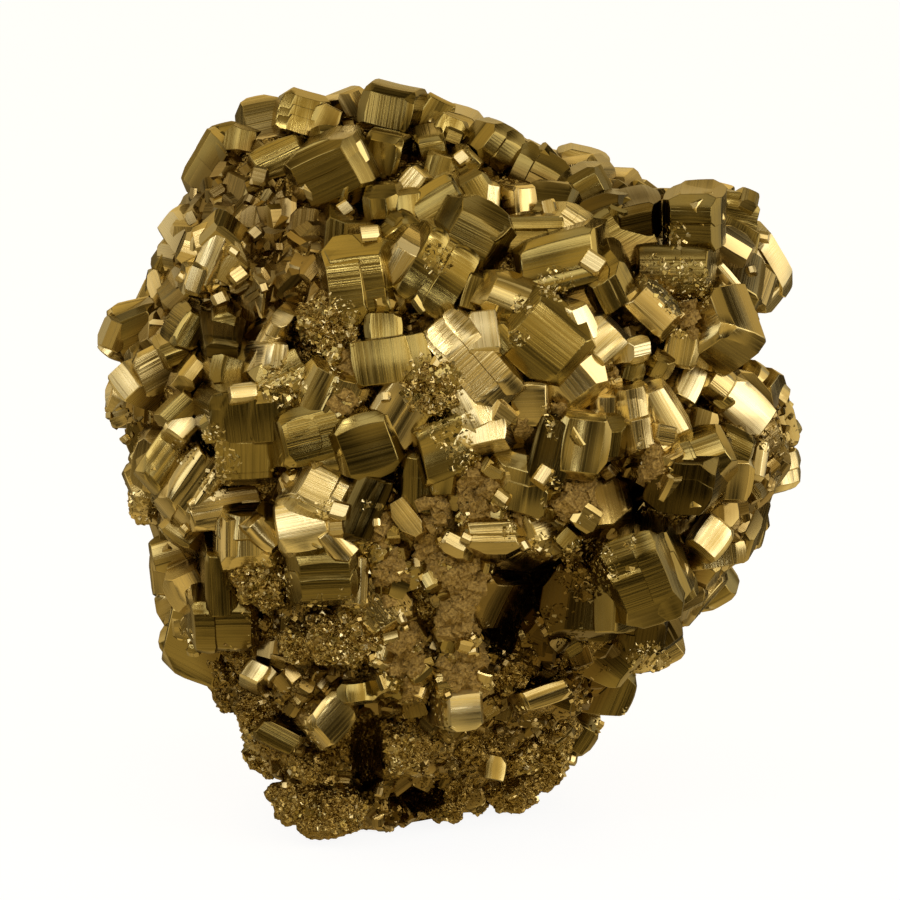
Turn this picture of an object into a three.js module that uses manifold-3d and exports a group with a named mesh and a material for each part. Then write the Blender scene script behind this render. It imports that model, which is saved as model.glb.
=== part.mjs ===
// Massive pyrite: one grown mass of brassy, striated crystals, about 104 mm tall.
// Millimetres. X runs to the right, Y away from the viewer, Z up. The origin is the middle of the small
// flat spot that the specimen stands on. Everything grew together, so it is one solid.

import * as THREE from "three";
import { ConvexGeometry } from "three/addons/geometries/ConvexGeometry.js";
import { mergeVertices } from "three/addons/utils/BufferGeometryUtils.js";
import Module from "manifold-3d";

const wasm = await Module();
wasm.setup();

// Places on the front are given as they show to a viewer who looks slightly down on the specimen:
// right and up are measured on the upright picture plane through the middle of the specimen.
const VIEW_TILT = THREE.MathUtils.degToRad(12);
const VIEW_DISTANCE = 700;
const VIEW_MIDDLE = { right: 2.8, up: 51.2 };
// Steps that settle where a line of sight meets the mass.
const SIGHT_STEPS = 12;

// The {210} faces of pyrite lean this much from the cube faces that they flank.
const PYRITOHEDRON_LEAN = Math.atan(1 / 2);
// Share of a cube face's half width that the leaning faces take.
const LEAN_SHARE = 0.42;

// The mass behind the crystals, as level sections from the foot to the top:
// height, left, right, front, back, and how far the section slants back per mm to the right.
const SECTIONS = [
  [0, -19, 13, -6, 16, 0.6],
  [5, -20.5, 18, -10.5, 20, 0.45],
  [12, -23.5, 20.5, -16.5, 24, 0.25],
  [20, -29, 26.5, -22, 27, 0.15],
  [28, -33, 34, -26, 30, 0.05],
  [36, -35.5, 39.5, -28.5, 32, 0],
  [44, -37.5, 45, -30, 33, 0],
  [52, -39, 48.5, -31, 34, 0],
  [60, -41, 47.5, -31, 34, 0],
  [65.5, -41.5, 38.5, -30, 33, 0],
  [70, -39, 43, -29, 32, 0],
  [78, -35, 45.5, -26, 30, 0],
  [84, -34, 42, -22.5, 27, 0],
  [88, -32.5, 29, -18.5, 23, 0],
  [92, -30, 19, -14, 19, 0],
  [96, -26, 9, -9, 14, 0],
  [99, -19, -3, -3, 7, 0],
];
const SECTION_SIDES = 14;
const SECTION_SQUARENESS = 2.4;
// The corners of the mass lie this far off its smooth form, from inward to outward.
const ROUGHNESS = [-2.2, 0.7];
const MASS_SEED = 3;

// What shows of a crystal is less than its whole width: the rest has grown into its neighbours.
const GROWN_INTO = 1.15;
// A crystal reaches at least this far into the mass.
const ROOT_DEPTH = 2.5;
// Smaller faces than this, in square millimetres, have no leaning faces beside them.
const SMALLEST_LEANING = 34;

// Hollows between the crystals of the front: right, up, half width, half height, depth.
const HOLLOWS = [
  [13.5, 32.5, 5.0, 4.6, 14],
  [9.4, 27.0, 3.2, 4.4, 12],
  [26.4, 44.6, 3.4, 2.8, 9],
  [-8.9, 8.2, 2.0, 5.4, 9],
  [-2.6, 2.6, 4.2, 1.8, 8],
];

// The crystals that give the front its look. right and up: where the middle of the main face shows.
// long and wide: that face along and across its striations. turn and tilt: degrees that it looks to the
// right and up. slope: of its striations, in degrees. out: how far it stands out of the mass.
const FRONT_CRYSTALS = [
  // top edge, left to right
  [-31.5, 90.4, 9.2, 6.0, -30, 12, 60, 3],
  [-28.6, 94.8, 4.8, 4.8, -10, 35, 20, 2],
  [-17.0, 98.2, 6.2, 6.4, 18, 10, 72, 3],
  [-21.2, 92.2, 7.0, 4.6, -10, 25, 27, 2.5],
  [-14.3, 89.0, 9.6, 8.6, -8, -5, 27, 4.5],
  [-6.2, 98.8, 6.4, 6.8, -12, 8, 84, 4],
  [0.3, 97.2, 6.0, 4.8, 10, 8, 58, 3],
  [-13.4, 94.7, 7.2, 3.4, -5, 20, -12, 3],
  [-7.3, 92.4, 5.2, 5.2, -20, 0, 80, 2.5],
  [1.6, 85.2, 5.0, 4.8, 0, 5, 30, 3],
  [10.0, 93.6, 5.6, 5.4, 25, 0, -35, 3],
  [15.8, 89.8, 9.0, 6.0, 5, 15, -28, 1.5],
  [22.3, 88.2, 5.4, 4.8, 10, 8, 30, 3],
  [6.3, 81.2, 8.8, 8.2, 5, 12, -28, 4.5],
  [14.8, 81.6, 8.2, 5.2, 5, 25, 0, 3],
  [20.3, 82.8, 5.8, 4.8, 15, 28, -40, 3],
  [18.1, 77.4, 9.0, 7.4, -5, 12, 14, 4.5],
  [24.6, 83.4, 6.4, 5.4, 0, 10, 20, 2.5],
  [28.6, 84.8, 6.4, 4.4, 10, 25, -15, 2],
  [29.0, 82.2, 6.8, 4.8, 10, -15, 10, 2],
  [36.6, 82.2, 8.0, 8.2, -8, -2, 0, 5],
  [43.0, 83.0, 5.6, 7.2, 22, -2, -12, 4],
  [47.2, 76.8, 7.8, 9.8, 40, 5, 32, 3],
  [43.6, 69.6, 5.4, 4.6, 35, 0, 42, 3],
  // left side, downwards
  [-29.0, 76.4, 4.8, 4.6, 10, 0, 82, 3],
  [-40.2, 70.8, 8.8, 4.4, -15, 40, 18, 3],
  [-41.6, 66.9, 9.2, 6.2, -22, -12, 26, 5],
  [-38.2, 62.3, 5.8, 5.2, -10, 5, 30, 2],
  [-27.8, 62.2, 4.8, 4.8, 5, 0, 75, 2.5],
  [-23.3, 65.0, 8.6, 2.8, -15, 5, 64, 3.5],
  [-20.5, 60.5, 5.6, 5.6, 0, 10, 30, 3.5],
  [-25.3, 55.4, 6.8, 10.0, -5, 0, 94, 5.5],
  [-24.3, 49.6, 6.6, 7.8, 5, -12, 90, 3.5],
  [-40.6, 48.4, 5.2, 7.6, -28, 5, -12, 4.5],
  [-36.8, 50.5, 8.2, 4.0, 5, 12, 52, 4],
  [-33.2, 46.2, 8.2, 5.2, 0, 5, 54, 5],
  [-28.6, 42.8, 7.8, 4.2, 0, 5, 10, 2.5],
  [-25.5, 39.0, 6.2, 6.6, -5, 8, 92, 4],
  [-18.3, 41.3, 5.6, 7.2, -18, 20, 15, 5.5],
  [-38.2, 33.4, 6.8, 3.6, -35, 0, 94, 3],
  [-33.7, 32.0, 4.8, 4.8, 0, 10, -62, 4.5],
  [-36.4, 37.0, 5.8, 4.6, -20, 15, 20, 2.5],
  [-35.0, 28.2, 5.4, 5.2, -25, -5, 30, 2.5],
  [-30.4, 20.4, 5.0, 6.0, -25, 0, 80, 2.5],
  [-23.4, 8.0, 4.8, 5.4, -20, 5, 60, 2.5],
  [-29.0, 32.2, 6.8, 3.6, 0, -5, 92, 4],
  [-28.8, 25.8, 7.6, 5.2, 0, -15, 3, 4.5],
  [-23.3, 33.2, 7.6, 7.2, -5, 5, 20, 3.5],
  [-14.9, 33.3, 7.8, 6.8, -5, -5, 4, 5.5],
  [-11.2, 24.6, 8.6, 7.2, 5, 0, 10, 4],
  [-42.8, 58.8, 6.4, 6.4, -40, 10, 20, 2.5],
  [-39.4, 43.8, 6.2, 5.6, -30, 0, 10, 2.5],
  // middle
  [-10.2, 75.3, 8.8, 10.2, -8, 12, 8, 5],
  [-4.2, 75.2, 7.6, 5.2, -20, 0, 60, 4],
  [1.7, 75.9, 7.6, 7.6, 12, 8, -35, 5],
  [-5.3, 64.0, 4.6, 8.4, -6, 14, 100, 5],
  [5.8, 63.9, 6.4, 9.8, -2, 8, 42, 5],
  [11.6, 73.0, 7.8, 5.4, 5, 22, -24, 5.5],
  [16.8, 66.8, 10.0, 8.8, 8, 12, -40, 6],
  [20.4, 61.4, 7.4, 6.4, 5, 5, -52, 5],
  [5.8, 58.3, 5.6, 5.0, 5, 20, -66, 4.5],
  [7.2, 54.4, 4.2, 6.2, 0, 22, 100, 5],
  [0.2, 60.3, 7.6, 7.0, 0, 15, 5, 5.5],
  [-4.5, 56.0, 7.2, 6.2, -5, 0, 60, 4],
  [2.5, 51.5, 8.0, 6.8, 0, 5, 20, 4.5],
  [-15.8, 59.0, 5.4, 4.8, -5, 5, 62, 4],
  [-15.4, 53.6, 8.6, 5.4, 5, 8, 13, 4.5],
  [-8.6, 51.5, 7.0, 6.2, 5, -3, 15, 5],
  [-14.4, 45.8, 6.8, 5.8, 12, 22, -28, 5],
  [-9.1, 43.0, 6.6, 4.4, 15, -5, 65, 4.5],
  [8.4, 39.5, 6.2, 4.0, 0, 20, 4, 4.5],
  [11.8, 46.0, 7.2, 6.2, -15, -5, 80, 3.5],
  [17.2, 50.6, 7.0, 4.6, 10, 0, 75, 4],
  [21.3, 51.3, 7.6, 6.2, 5, 5, 80, 5],
  [-1.6, 46.0, 6.6, 3.8, -10, -5, 88, 3],
  // right side, downwards
  [24.7, 67.0, 5.2, 5.4, 20, 15, 38, 5],
  [25.8, 73.4, 5.8, 4.6, 12, -10, -62, 4],
  [31.5, 71.4, 5.8, 4.0, 10, 15, -42, 4.5],
  [34.0, 76.2, 8.0, 6.4, 0, 10, 0, 3],
  [33.2, 56.6, 8.2, 4.6, 28, 12, -65, 5.5],
  [29.1, 56.0, 6.6, 3.6, 15, 8, 98, 5],
  [41.0, 60.3, 5.2, 4.8, 18, 8, -40, 4.5],
  [44.6, 56.9, 8.2, 5.4, 32, 12, -42, 5],
  [47.6, 60.8, 7.6, 4.0, 45, 20, -42, 3.5],
  [49.0, 59.0, 5.6, 4.6, 60, 5, -60, 3],
  [36.9, 51.0, 7.6, 5.6, 3, 28, 18, 4.5],
  [35.2, 45.8, 6.4, 6.6, -8, -8, 80, 5],
  [43.0, 51.4, 5.4, 4.2, 15, 5, -28, 4],
  [42.8, 46.6, 6.0, 4.8, 10, -10, 85, 3],
  [50.2, 48.6, 5.4, 5.6, 40, 12, 95, 2.5],
  [39.8, 39.3, 4.8, 4.6, 8, 18, 50, 6.5],
  [39.8, 36.2, 3.4, 7.6, 5, 0, 98, 4],
  [39.4, 31.9, 7.2, 6.2, 15, -12, 30, 3.5],
  [45.2, 40.2, 6.2, 5.4, 30, 0, 80, 2.5],
  [29.0, 32.6, 8.6, 10.4, -6, -4, 20, 7],
  [32.3, 26.0, 6.2, 4.8, 12, -10, -62, 4.5],
  [29.2, 25.2, 5.6, 5.4, -8, -15, 80, 4],
  [32.2, 23.4, 5.2, 5.0, 15, -10, 30, 4],
  [34.2, 33.8, 8.2, 4.4, 30, 0, -60, 5],
  // foot
  [-13.6, 13.6, 5.6, 4.4, 8, 5, 46, 4.5],
  [5.2, 14.6, 4.8, 4.8, 14, 5, 2, 6.5],
  [25.0, 17.2, 6.6, 6.2, 25, -10, 75, 3.5],
  [20.6, 11.0, 5.4, 5.2, 20, -10, 60, 3],
  [16.6, 6.0, 5.2, 5.2, 10, -5, 30, 2.5],
  [-28.8, 17.5, 5.4, 5.4, -20, 0, 30, 2],
  [-24.5, 13.6, 5.4, 5.4, -10, 0, 10, 2],
  [-19.6, 1.6, 6.4, 5.6, -20, 0, 20, 4.5],
  [-13.8, -0.6, 7.4, 6.0, 0, -5, 6, 5],
  [-4.0, 9.5, 6.0, 6.0, 0, 0, 30, 3],
  [12.0, 2.4, 6.4, 5.0, 10, -10, 10, 4],
];

// The crystals of the sides, the top and the back stand in rows round the mass, at these heights.
const ROUND_LEVELS = [6, 16, 26, 36, 46, 56, 66, 76, 85, 89.5, 94, 97.5];
const ROUND_SPACING = 13;
const ROUND_SIZES = [11.5, 18];
const ROUND_OUT = [1, 3.4];
const ROUND_SEED = 21;
// They stray this much from their rows, in height and in share of the spacing.
const ROUND_STRAY = 1.2;
const ROUND_STRAY_SHARE = 0.2;
// From this height up they are smaller and stand out less.
const ROUND_TOP = 80;
const ROUND_TOP_SHARE = 0.6;
// The front, where the listed crystals grow, takes the rest of each row.
const ROUND_FROM_SINE = 0.18;

// The crystals that fill the front between the listed ones stand in rows from the first height up.
const FILL_SPACING = 9.8;
const FILL_HEIGHTS = [2, 88];
const FILL_SIZES = [7.5, 11];
const FILL_OUT = [0.6, 2.2];
const FILL_STRAY = 1.5;
const FILL_SEED = 5;
// How fast their outward direction turns to the side, per millimetre from the middle.
const FILL_TURN = 1 / 80;

// Sizes of the crystals that aren't listed: share along and across the striations, and how far they lean.
const LOOSE_LONG = [0.85, 1.1];
const LOOSE_WIDE = [0.75, 1];
const LOOSE_LEAN = 0.6;

// The block that is cut away below the flat spot.
const GROUND_SIDE = 200;
const GROUND_DEPTH = 40;

// A small repeatable number series, 0 to 1, so that the same crystals grow each time.
function numberSeries(seed) {
  let state = seed;
  return () => {
    state = (state * 1664525 + 1013904223) % 4294967296;
    return state / 4294967296;
  };
}

// The mass's section at a height, between the two listed sections around it.
function sectionAt(z) {
  const last = SECTIONS.length - 1;
  let i = 1;
  while (i < last && SECTIONS[i][0] < z) i += 1;
  const share = THREE.MathUtils.clamp((z - SECTIONS[i - 1][0]) / (SECTIONS[i][0] - SECTIONS[i - 1][0]), 0, 1);
  const [, left, right, front, back, slant] = SECTIONS[i].map((value, k) =>
    THREE.MathUtils.lerp(SECTIONS[i - 1][k], value, share),
  );
  return {
    middleX: (left + right) / 2,
    middleY: (front + back) / 2,
    halfX: (right - left) / 2,
    halfY: (back - front) / 2,
    slant,
  };
}

// A point of the mass's skin: angle 0 is on the right, a quarter turn is at the back.
function skinPoint(angle, z) {
  const s = sectionAt(z);
  const rounding = 2 / SECTION_SQUARENESS;
  const c = Math.cos(angle);
  const d = Math.sin(angle);
  const x = s.halfX * Math.sign(c) * Math.abs(c) ** rounding;
  const y = s.halfY * Math.sign(d) * Math.abs(d) ** rounding;
  return new THREE.Vector3(s.middleX + x, s.middleY + y + s.slant * x, z);
}

// The direction out of the skin there, from the skin a small step to each side and 1 mm up and down.
function skinNormal(angle, z) {
  const step = 0.02;
  const along = skinPoint(angle + step, z).sub(skinPoint(angle - step, z));
  const up = skinPoint(angle, z + 1).sub(skinPoint(angle, z - 1));
  return along.cross(up).normalize();
}

// How far forward the mass reaches at a place on its front.
function frontAt(x, z) {
  const s = sectionAt(z);
  const offset = THREE.MathUtils.clamp((x - s.middleX) / s.halfX, -1, 1);
  const reach = (1 - Math.abs(offset) ** SECTION_SQUARENESS) ** (1 / SECTION_SQUARENESS);
  return s.middleY - s.halfY * reach + s.slant * offset * s.halfX;
}

// The point that shows at (right, up) and stands out of the mass's front by that much.
function pointSeen(right, up, out) {
  const forward = new THREE.Vector3(0, Math.cos(VIEW_TILT), -Math.sin(VIEW_TILT));
  const upward = new THREE.Vector3(0, Math.sin(VIEW_TILT), Math.cos(VIEW_TILT));
  const through = new THREE.Vector3(right, 0, 0).addScaledVector(upward, up);
  const middle = new THREE.Vector3(VIEW_MIDDLE.right, 0, 0).addScaledVector(upward, VIEW_MIDDLE.up);
  const eye = middle.clone().addScaledVector(forward, -VIEW_DISTANCE);
  const sight = through.sub(eye);
  const point = new THREE.Vector3();
  let y = 0;
  for (let i = 0; i < SIGHT_STEPS; i += 1) {
    point.copy(eye).addScaledVector(sight, (y - eye.y) / sight.y);
    y = frontAt(point.x, point.z) - out;
  }
  return point;
}

// Corners of the shape that lies behind every plane. A plane is [normal, distance].
function cornersBehind(planes) {
  const corners = [];
  const across = new THREE.Matrix3();
  for (let i = 0; i < planes.length; i += 1) {
    for (let j = i + 1; j < planes.length; j += 1) {
      for (let k = j + 1; k < planes.length; k += 1) {
        const [a, b, c] = [planes[i], planes[j], planes[k]];
        across.set(...a[0].toArray(), ...b[0].toArray(), ...c[0].toArray());
        if (Math.abs(across.determinant()) < 1e-6) continue;
        const corner = new THREE.Vector3(a[1], b[1], c[1]).applyMatrix3(across.invert());
        if (planes.every(([normal, distance]) => normal.dot(corner) < distance + 1e-6)) corners.push(corner);
      }
    }
  }
  return corners;
}

// A pyrite crystal in its own frame: cube faces, and on its striated faces the leaning {210} faces.
// Striations run along X on the Z faces, along Y on the X faces and along Z on the Y faces.
function crystalCorners(size, leaning) {
  const half = size.map((s) => s / 2);
  const planes = [];
  for (let axis = 0; axis < 3; axis += 1) {
    const across = (axis + 2) % 3;
    for (const side of [-1, 1]) {
      const face = new THREE.Vector3().setComponent(axis, side);
      planes.push([face, half[axis]]);
      if (side < 0 || axis !== 2 || !leaning) continue;
      for (const lean of [-1, 1]) {
        const normal = face.clone().multiplyScalar(Math.cos(PYRITOHEDRON_LEAN));
        normal.setComponent(across, lean * Math.sin(PYRITOHEDRON_LEAN));
        const edge = face.clone().multiplyScalar(half[axis]);
        edge.setComponent(across, lean * half[across] * (1 - LEAN_SHARE));
        planes.push([normal, normal.dot(edge)]);
      }
    }
  }
  return cornersBehind(planes);
}

// A closed geometry as a solid that can be joined and cut.
function solidOf(geometry) {
  const bare = new THREE.BufferGeometry().setAttribute("position", geometry.getAttribute("position"));
  if (geometry.index) bare.setIndex(geometry.index);
  const merged = mergeVertices(bare, 1e-4);
  return new wasm.Manifold(
    new wasm.Mesh({
      numProp: 3,
      vertProperties: new Float32Array(merged.attributes.position.array),
      triVerts: new Uint32Array(merged.index.array),
    }),
  );
}

// One crystal as a solid. face: the middle of its main face, which looks along normal, with its
// striations along grain.
function crystalSolid(face, normal, grain, long, wide, deep, leaning) {
  const turned = new THREE.Matrix4().makeBasis(grain, normal.clone().cross(grain), normal);
  const middle = face.clone().addScaledVector(normal, -deep / 2);
  turned.setPosition(middle);
  const corners = crystalCorners([long, wide, deep], leaning).map((corner) => corner.applyMatrix4(turned));
  return solidOf(new ConvexGeometry(corners));
}

// A face's outward direction and the direction of its striations, from degrees turned right and up.
function faceDirections(turn, tilt, slope) {
  const [t, e, s] = [turn, tilt, slope].map(THREE.MathUtils.degToRad);
  const normal = new THREE.Vector3(Math.sin(t) * Math.cos(e), -Math.cos(t) * Math.cos(e), Math.sin(e));
  const level = new THREE.Vector3(Math.cos(t), Math.sin(t), 0);
  const rising = normal.clone().cross(level);
  const grain = level.multiplyScalar(Math.cos(s)).addScaledVector(rising, Math.sin(s));
  return [normal, grain];
}

function frontCrystal([right, up, long, wide, turn, tilt, slope, out]) {
  const [normal, grain] = faceDirections(turn, tilt, slope);
  const deep = Math.max(Math.sqrt(long * wide), out + ROOT_DEPTH);
  const leaning = long * wide > SMALLEST_LEANING;
  const face = pointSeen(right, up, out);
  return crystalSolid(face, normal, grain, long * GROWN_INTO, wide * GROWN_INTO, deep * GROWN_INTO, leaning);
}

// A crystal whose tip stands out of the skin by that much, leaning any way.
function looseCrystal(skin, outward, size, out, between) {
  const long = size * between(...LOOSE_LONG);
  const wide = size * between(...LOOSE_WIDE);
  const lean = new THREE.Vector3(between(-1, 1), between(-1, 1), between(-1, 1)).multiplyScalar(LOOSE_LEAN);
  const spin = between(0, Math.PI);
  const normal = outward.clone().add(lean).normalize();
  const level = new THREE.Vector3(0, 0, 1).cross(normal).normalize();
  const grain = level.applyAxisAngle(normal, spin);
  const edges = [grain, normal.clone().cross(grain), normal];
  const sizes = [long, wide, size];
  const reach = edges.reduce((sum, edge, k) => sum + (sizes[k] / 2) * Math.abs(edge.dot(outward)), 0);
  const face = skin.clone().addScaledVector(outward, out - reach).addScaledVector(normal, size / 2);
  return crystalSolid(face, normal, grain, long, wide, size, false);
}

// Crystals over the sides, the top and the back.
function roundCrystals() {
  const next = numberSeries(ROUND_SEED);
  const between = (low, high) => low + (high - low) * next();
  const made = [];
  ROUND_LEVELS.forEach((level, row) => {
    const section = sectionAt(level);
    const count = Math.round((Math.PI * (section.halfX + section.halfY)) / ROUND_SPACING);
    for (let i = 0; i < count; i += 1) {
      const stray = between(-ROUND_STRAY_SHARE, ROUND_STRAY_SHARE);
      const angle = (2 * Math.PI * (i + 0.5 * (row % 2) + stray)) / count;
      if (Math.sin(angle) < ROUND_FROM_SINE) continue;
      const z = level + between(-ROUND_STRAY, ROUND_STRAY);
      const share = z > ROUND_TOP ? ROUND_TOP_SHARE : 1;
      const size = share * between(...ROUND_SIZES);
      const out = share * between(...ROUND_OUT);
      made.push(looseCrystal(skinPoint(angle, z), skinNormal(angle, z), size, out, between));
    }
  });
  return made;
}

// Crystals that fill the front between the listed ones.
function fillCrystals() {
  const next = numberSeries(FILL_SEED);
  const between = (low, high) => low + (high - low) * next();
  const stray = () => between(-FILL_STRAY, FILL_STRAY);
  const made = [];
  const [lowest, highest] = FILL_HEIGHTS;
  for (let row = lowest; row < highest; row += FILL_SPACING) {
    const { middleX, halfX } = sectionAt(row);
    for (let place = FILL_HEIGHTS[0] - halfX; place < halfX; place += FILL_SPACING) {
      const right = middleX + place + stray();
      const up = row + stray();
      const taken = ([x, z, long, wide]) => Math.hypot(x - right, z - up) < (long + wide) / 4;
      if (FRONT_CRYSTALS.some(taken)) continue;
      const outward = new THREE.Vector3(FILL_TURN * (right - middleX), -1, 0).normalize();
      const skin = pointSeen(right, up, 0);
      made.push(looseCrystal(skin, outward, between(...FILL_SIZES), between(...FILL_OUT), between));
    }
  }
  return made;
}

// The mass as one closed solid: rings of corners, each ring turned half a step from the one below.
function massSolid() {
  const points = [];
  const index = [];
  const next = numberSeries(MASS_SEED);
  SECTIONS.forEach(([z], level) => {
    for (let i = 0; i < SECTION_SIDES; i += 1) {
      const angle = (2 * Math.PI * (i + 0.5 * (level % 2))) / SECTION_SIDES;
      const offset = z > 0 ? THREE.MathUtils.lerp(...ROUGHNESS, next()) : 0;
      points.push(...skinPoint(angle, z).addScaledVector(skinNormal(angle, z), offset).toArray());
    }
  });
  for (let level = 0; level < SECTIONS.length - 1; level += 1) {
    for (let i = 0; i < SECTION_SIDES; i += 1) {
      const shift = level % 2;
      const a = level * SECTION_SIDES + i;
      const b = level * SECTION_SIDES + ((i + 1) % SECTION_SIDES);
      const c = (level + 1) * SECTION_SIDES + ((i + shift) % SECTION_SIDES);
      const d = (level + 1) * SECTION_SIDES + ((i + 1 + shift) % SECTION_SIDES);
      index.push(a, b, c, b, d, c);
    }
  }
  const top = (SECTIONS.length - 1) * SECTION_SIDES;
  for (let i = 1; i < SECTION_SIDES - 1; i += 1) {
    index.push(0, i + 1, i);
    index.push(top, top + i, top + i + 1);
  }
  const geometry = new THREE.BufferGeometry();
  geometry.setAttribute("position", new THREE.Float32BufferAttribute(points, 3));
  geometry.setIndex(index);
  return solidOf(geometry);
}

// A hollow with flat walls, centred on the skin.
function hollowSolid([right, up, halfWidth, halfHeight, depth]) {
  const shape = new THREE.IcosahedronGeometry(1, 0).scale(halfWidth, depth, halfHeight);
  shape.translate(...pointSeen(right, up, 0).toArray());
  return solidOf(shape);
}

// What lies below the flat spot is cut away.
function belowGround() {
  const block = new THREE.BoxGeometry(GROUND_SIDE, GROUND_SIDE, GROUND_DEPTH);
  block.translate(0, 0, -GROUND_DEPTH / 2);
  return solidOf(block);
}

function geometryOf(solid) {
  const mesh = solid.getMesh();
  const geometry = new THREE.BufferGeometry();
  geometry.setAttribute("position", new THREE.BufferAttribute(mesh.vertProperties, 3));
  geometry.setIndex(new THREE.BufferAttribute(mesh.triVerts, 1));
  geometry.computeVertexNormals();
  return geometry;
}

// The outer body alone: a gap that crystals close in on every side is filled.
function outerBody(solid) {
  return solid.decompose().sort((a, b) => b.volume() - a.volume())[0];
}

let specimen = massSolid();
for (const crystal of [...roundCrystals(), ...fillCrystals(), ...FRONT_CRYSTALS.map(frontCrystal)]) {
  specimen = specimen.add(crystal);
}
for (const hollow of HOLLOWS) specimen = specimen.subtract(hollowSolid(hollow));
specimen = outerBody(specimen.subtract(belowGround()));

const pyrite = new THREE.MeshStandardMaterial({ color: 0xa98f4f, roughness: 0.3, metalness: 1 });
pyrite.flatShading = true;
const mass = new THREE.Mesh(geometryOf(specimen), pyrite);
mass.name = "pyrite_specimen";

const group = new THREE.Group();
group.add(mass);

export default group;
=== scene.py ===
import math

import bmesh
import bpy
import numpy as np
from mathutils import Matrix, Vector, noise
from mathutils.bvhtree import BVHTree


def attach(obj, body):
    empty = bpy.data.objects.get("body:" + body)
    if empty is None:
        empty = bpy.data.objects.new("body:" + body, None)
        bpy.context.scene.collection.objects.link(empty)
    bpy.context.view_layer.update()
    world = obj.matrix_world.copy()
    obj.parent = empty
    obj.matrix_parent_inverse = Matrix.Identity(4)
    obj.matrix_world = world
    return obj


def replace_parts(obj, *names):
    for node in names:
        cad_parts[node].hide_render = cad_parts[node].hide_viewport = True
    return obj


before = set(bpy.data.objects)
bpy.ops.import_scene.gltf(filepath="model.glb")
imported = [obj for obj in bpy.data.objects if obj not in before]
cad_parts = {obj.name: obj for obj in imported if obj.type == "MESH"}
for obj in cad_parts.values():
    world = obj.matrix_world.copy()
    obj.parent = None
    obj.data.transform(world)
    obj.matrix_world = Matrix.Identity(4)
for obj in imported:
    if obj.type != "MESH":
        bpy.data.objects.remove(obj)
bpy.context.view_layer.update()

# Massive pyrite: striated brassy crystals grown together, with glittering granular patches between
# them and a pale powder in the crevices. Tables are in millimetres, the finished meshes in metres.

MM = 0.001

# The seed of all draws that have no seed of their own.
COMMON_SEED = 5

# Places on the front are given as they show in the photograph's view: right and up, on the upright
# picture plane through the middle of the specimen.
VIEW_TILT = math.radians(12)
VIEW_DISTANCE = 700
VIEW_MIDDLE = (2.8, 51.2)
SIGHT_STEPS = 12
PICTURE_WIDTH = 126
LENS = 200
NEAREST_SEEN = 10

# The mass behind the crystals, as level sections from the foot to the top:
# height, left, right, front, back, and how far the section slants back per mm to the right.
SECTIONS = (
    (0, -19, 13, -6, 16, 0.6),
    (5, -20.5, 18, -10.5, 20, 0.45),
    (12, -23.5, 20.5, -16.5, 24, 0.25),
    (20, -29, 26.5, -22, 27, 0.15),
    (28, -33, 34, -26, 30, 0.05),
    (36, -35.5, 39.5, -28.5, 32, 0),
    (44, -37.5, 45, -30, 33, 0),
    (52, -39, 48.5, -31, 34, 0),
    (60, -41, 47.5, -31, 34, 0),
    (65.5, -41.5, 38.5, -30, 33, 0),
    (70, -39, 43, -29, 32, 0),
    (78, -35, 45.5, -26, 30, 0),
    (84, -34, 42, -22.5, 27, 0),
    (88, -32.5, 29, -18.5, 23, 0),
    (92, -30, 19, -14, 19, 0),
    (96, -26, 9, -9, 14, 0),
    (99, -19, -3, -3, 7, 0),
)
SQUARENESS = 2.4
LEAST_SHARE = 1e-6

# What is further back than this isn't part of the front.
FRONT_REACH = 5

# Between the points that tell which way the skin faces: an angle, and a height.
NEARBY_ANGLE = 0.02
NEARBY_HEIGHT = 1

# Hollows between the crystals of the front: right, up, half width, half height, depth.
HOLLOWS = (
    (13.5, 32.5, 5.0, 4.6, 14),
    (9.4, 27.0, 3.2, 4.4, 12),
    (26.4, 44.6, 3.4, 2.8, 9),
    (-8.9, 8.2, 2.0, 5.4, 9),
    (-2.6, 2.6, 4.2, 1.8, 8),
)

# In this share of a hollow nothing grows. The mass is carved a little wider than the solid is.
HOLLOW_CORE = 0.85
HOLLOW_GROWN = 1.15

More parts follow.
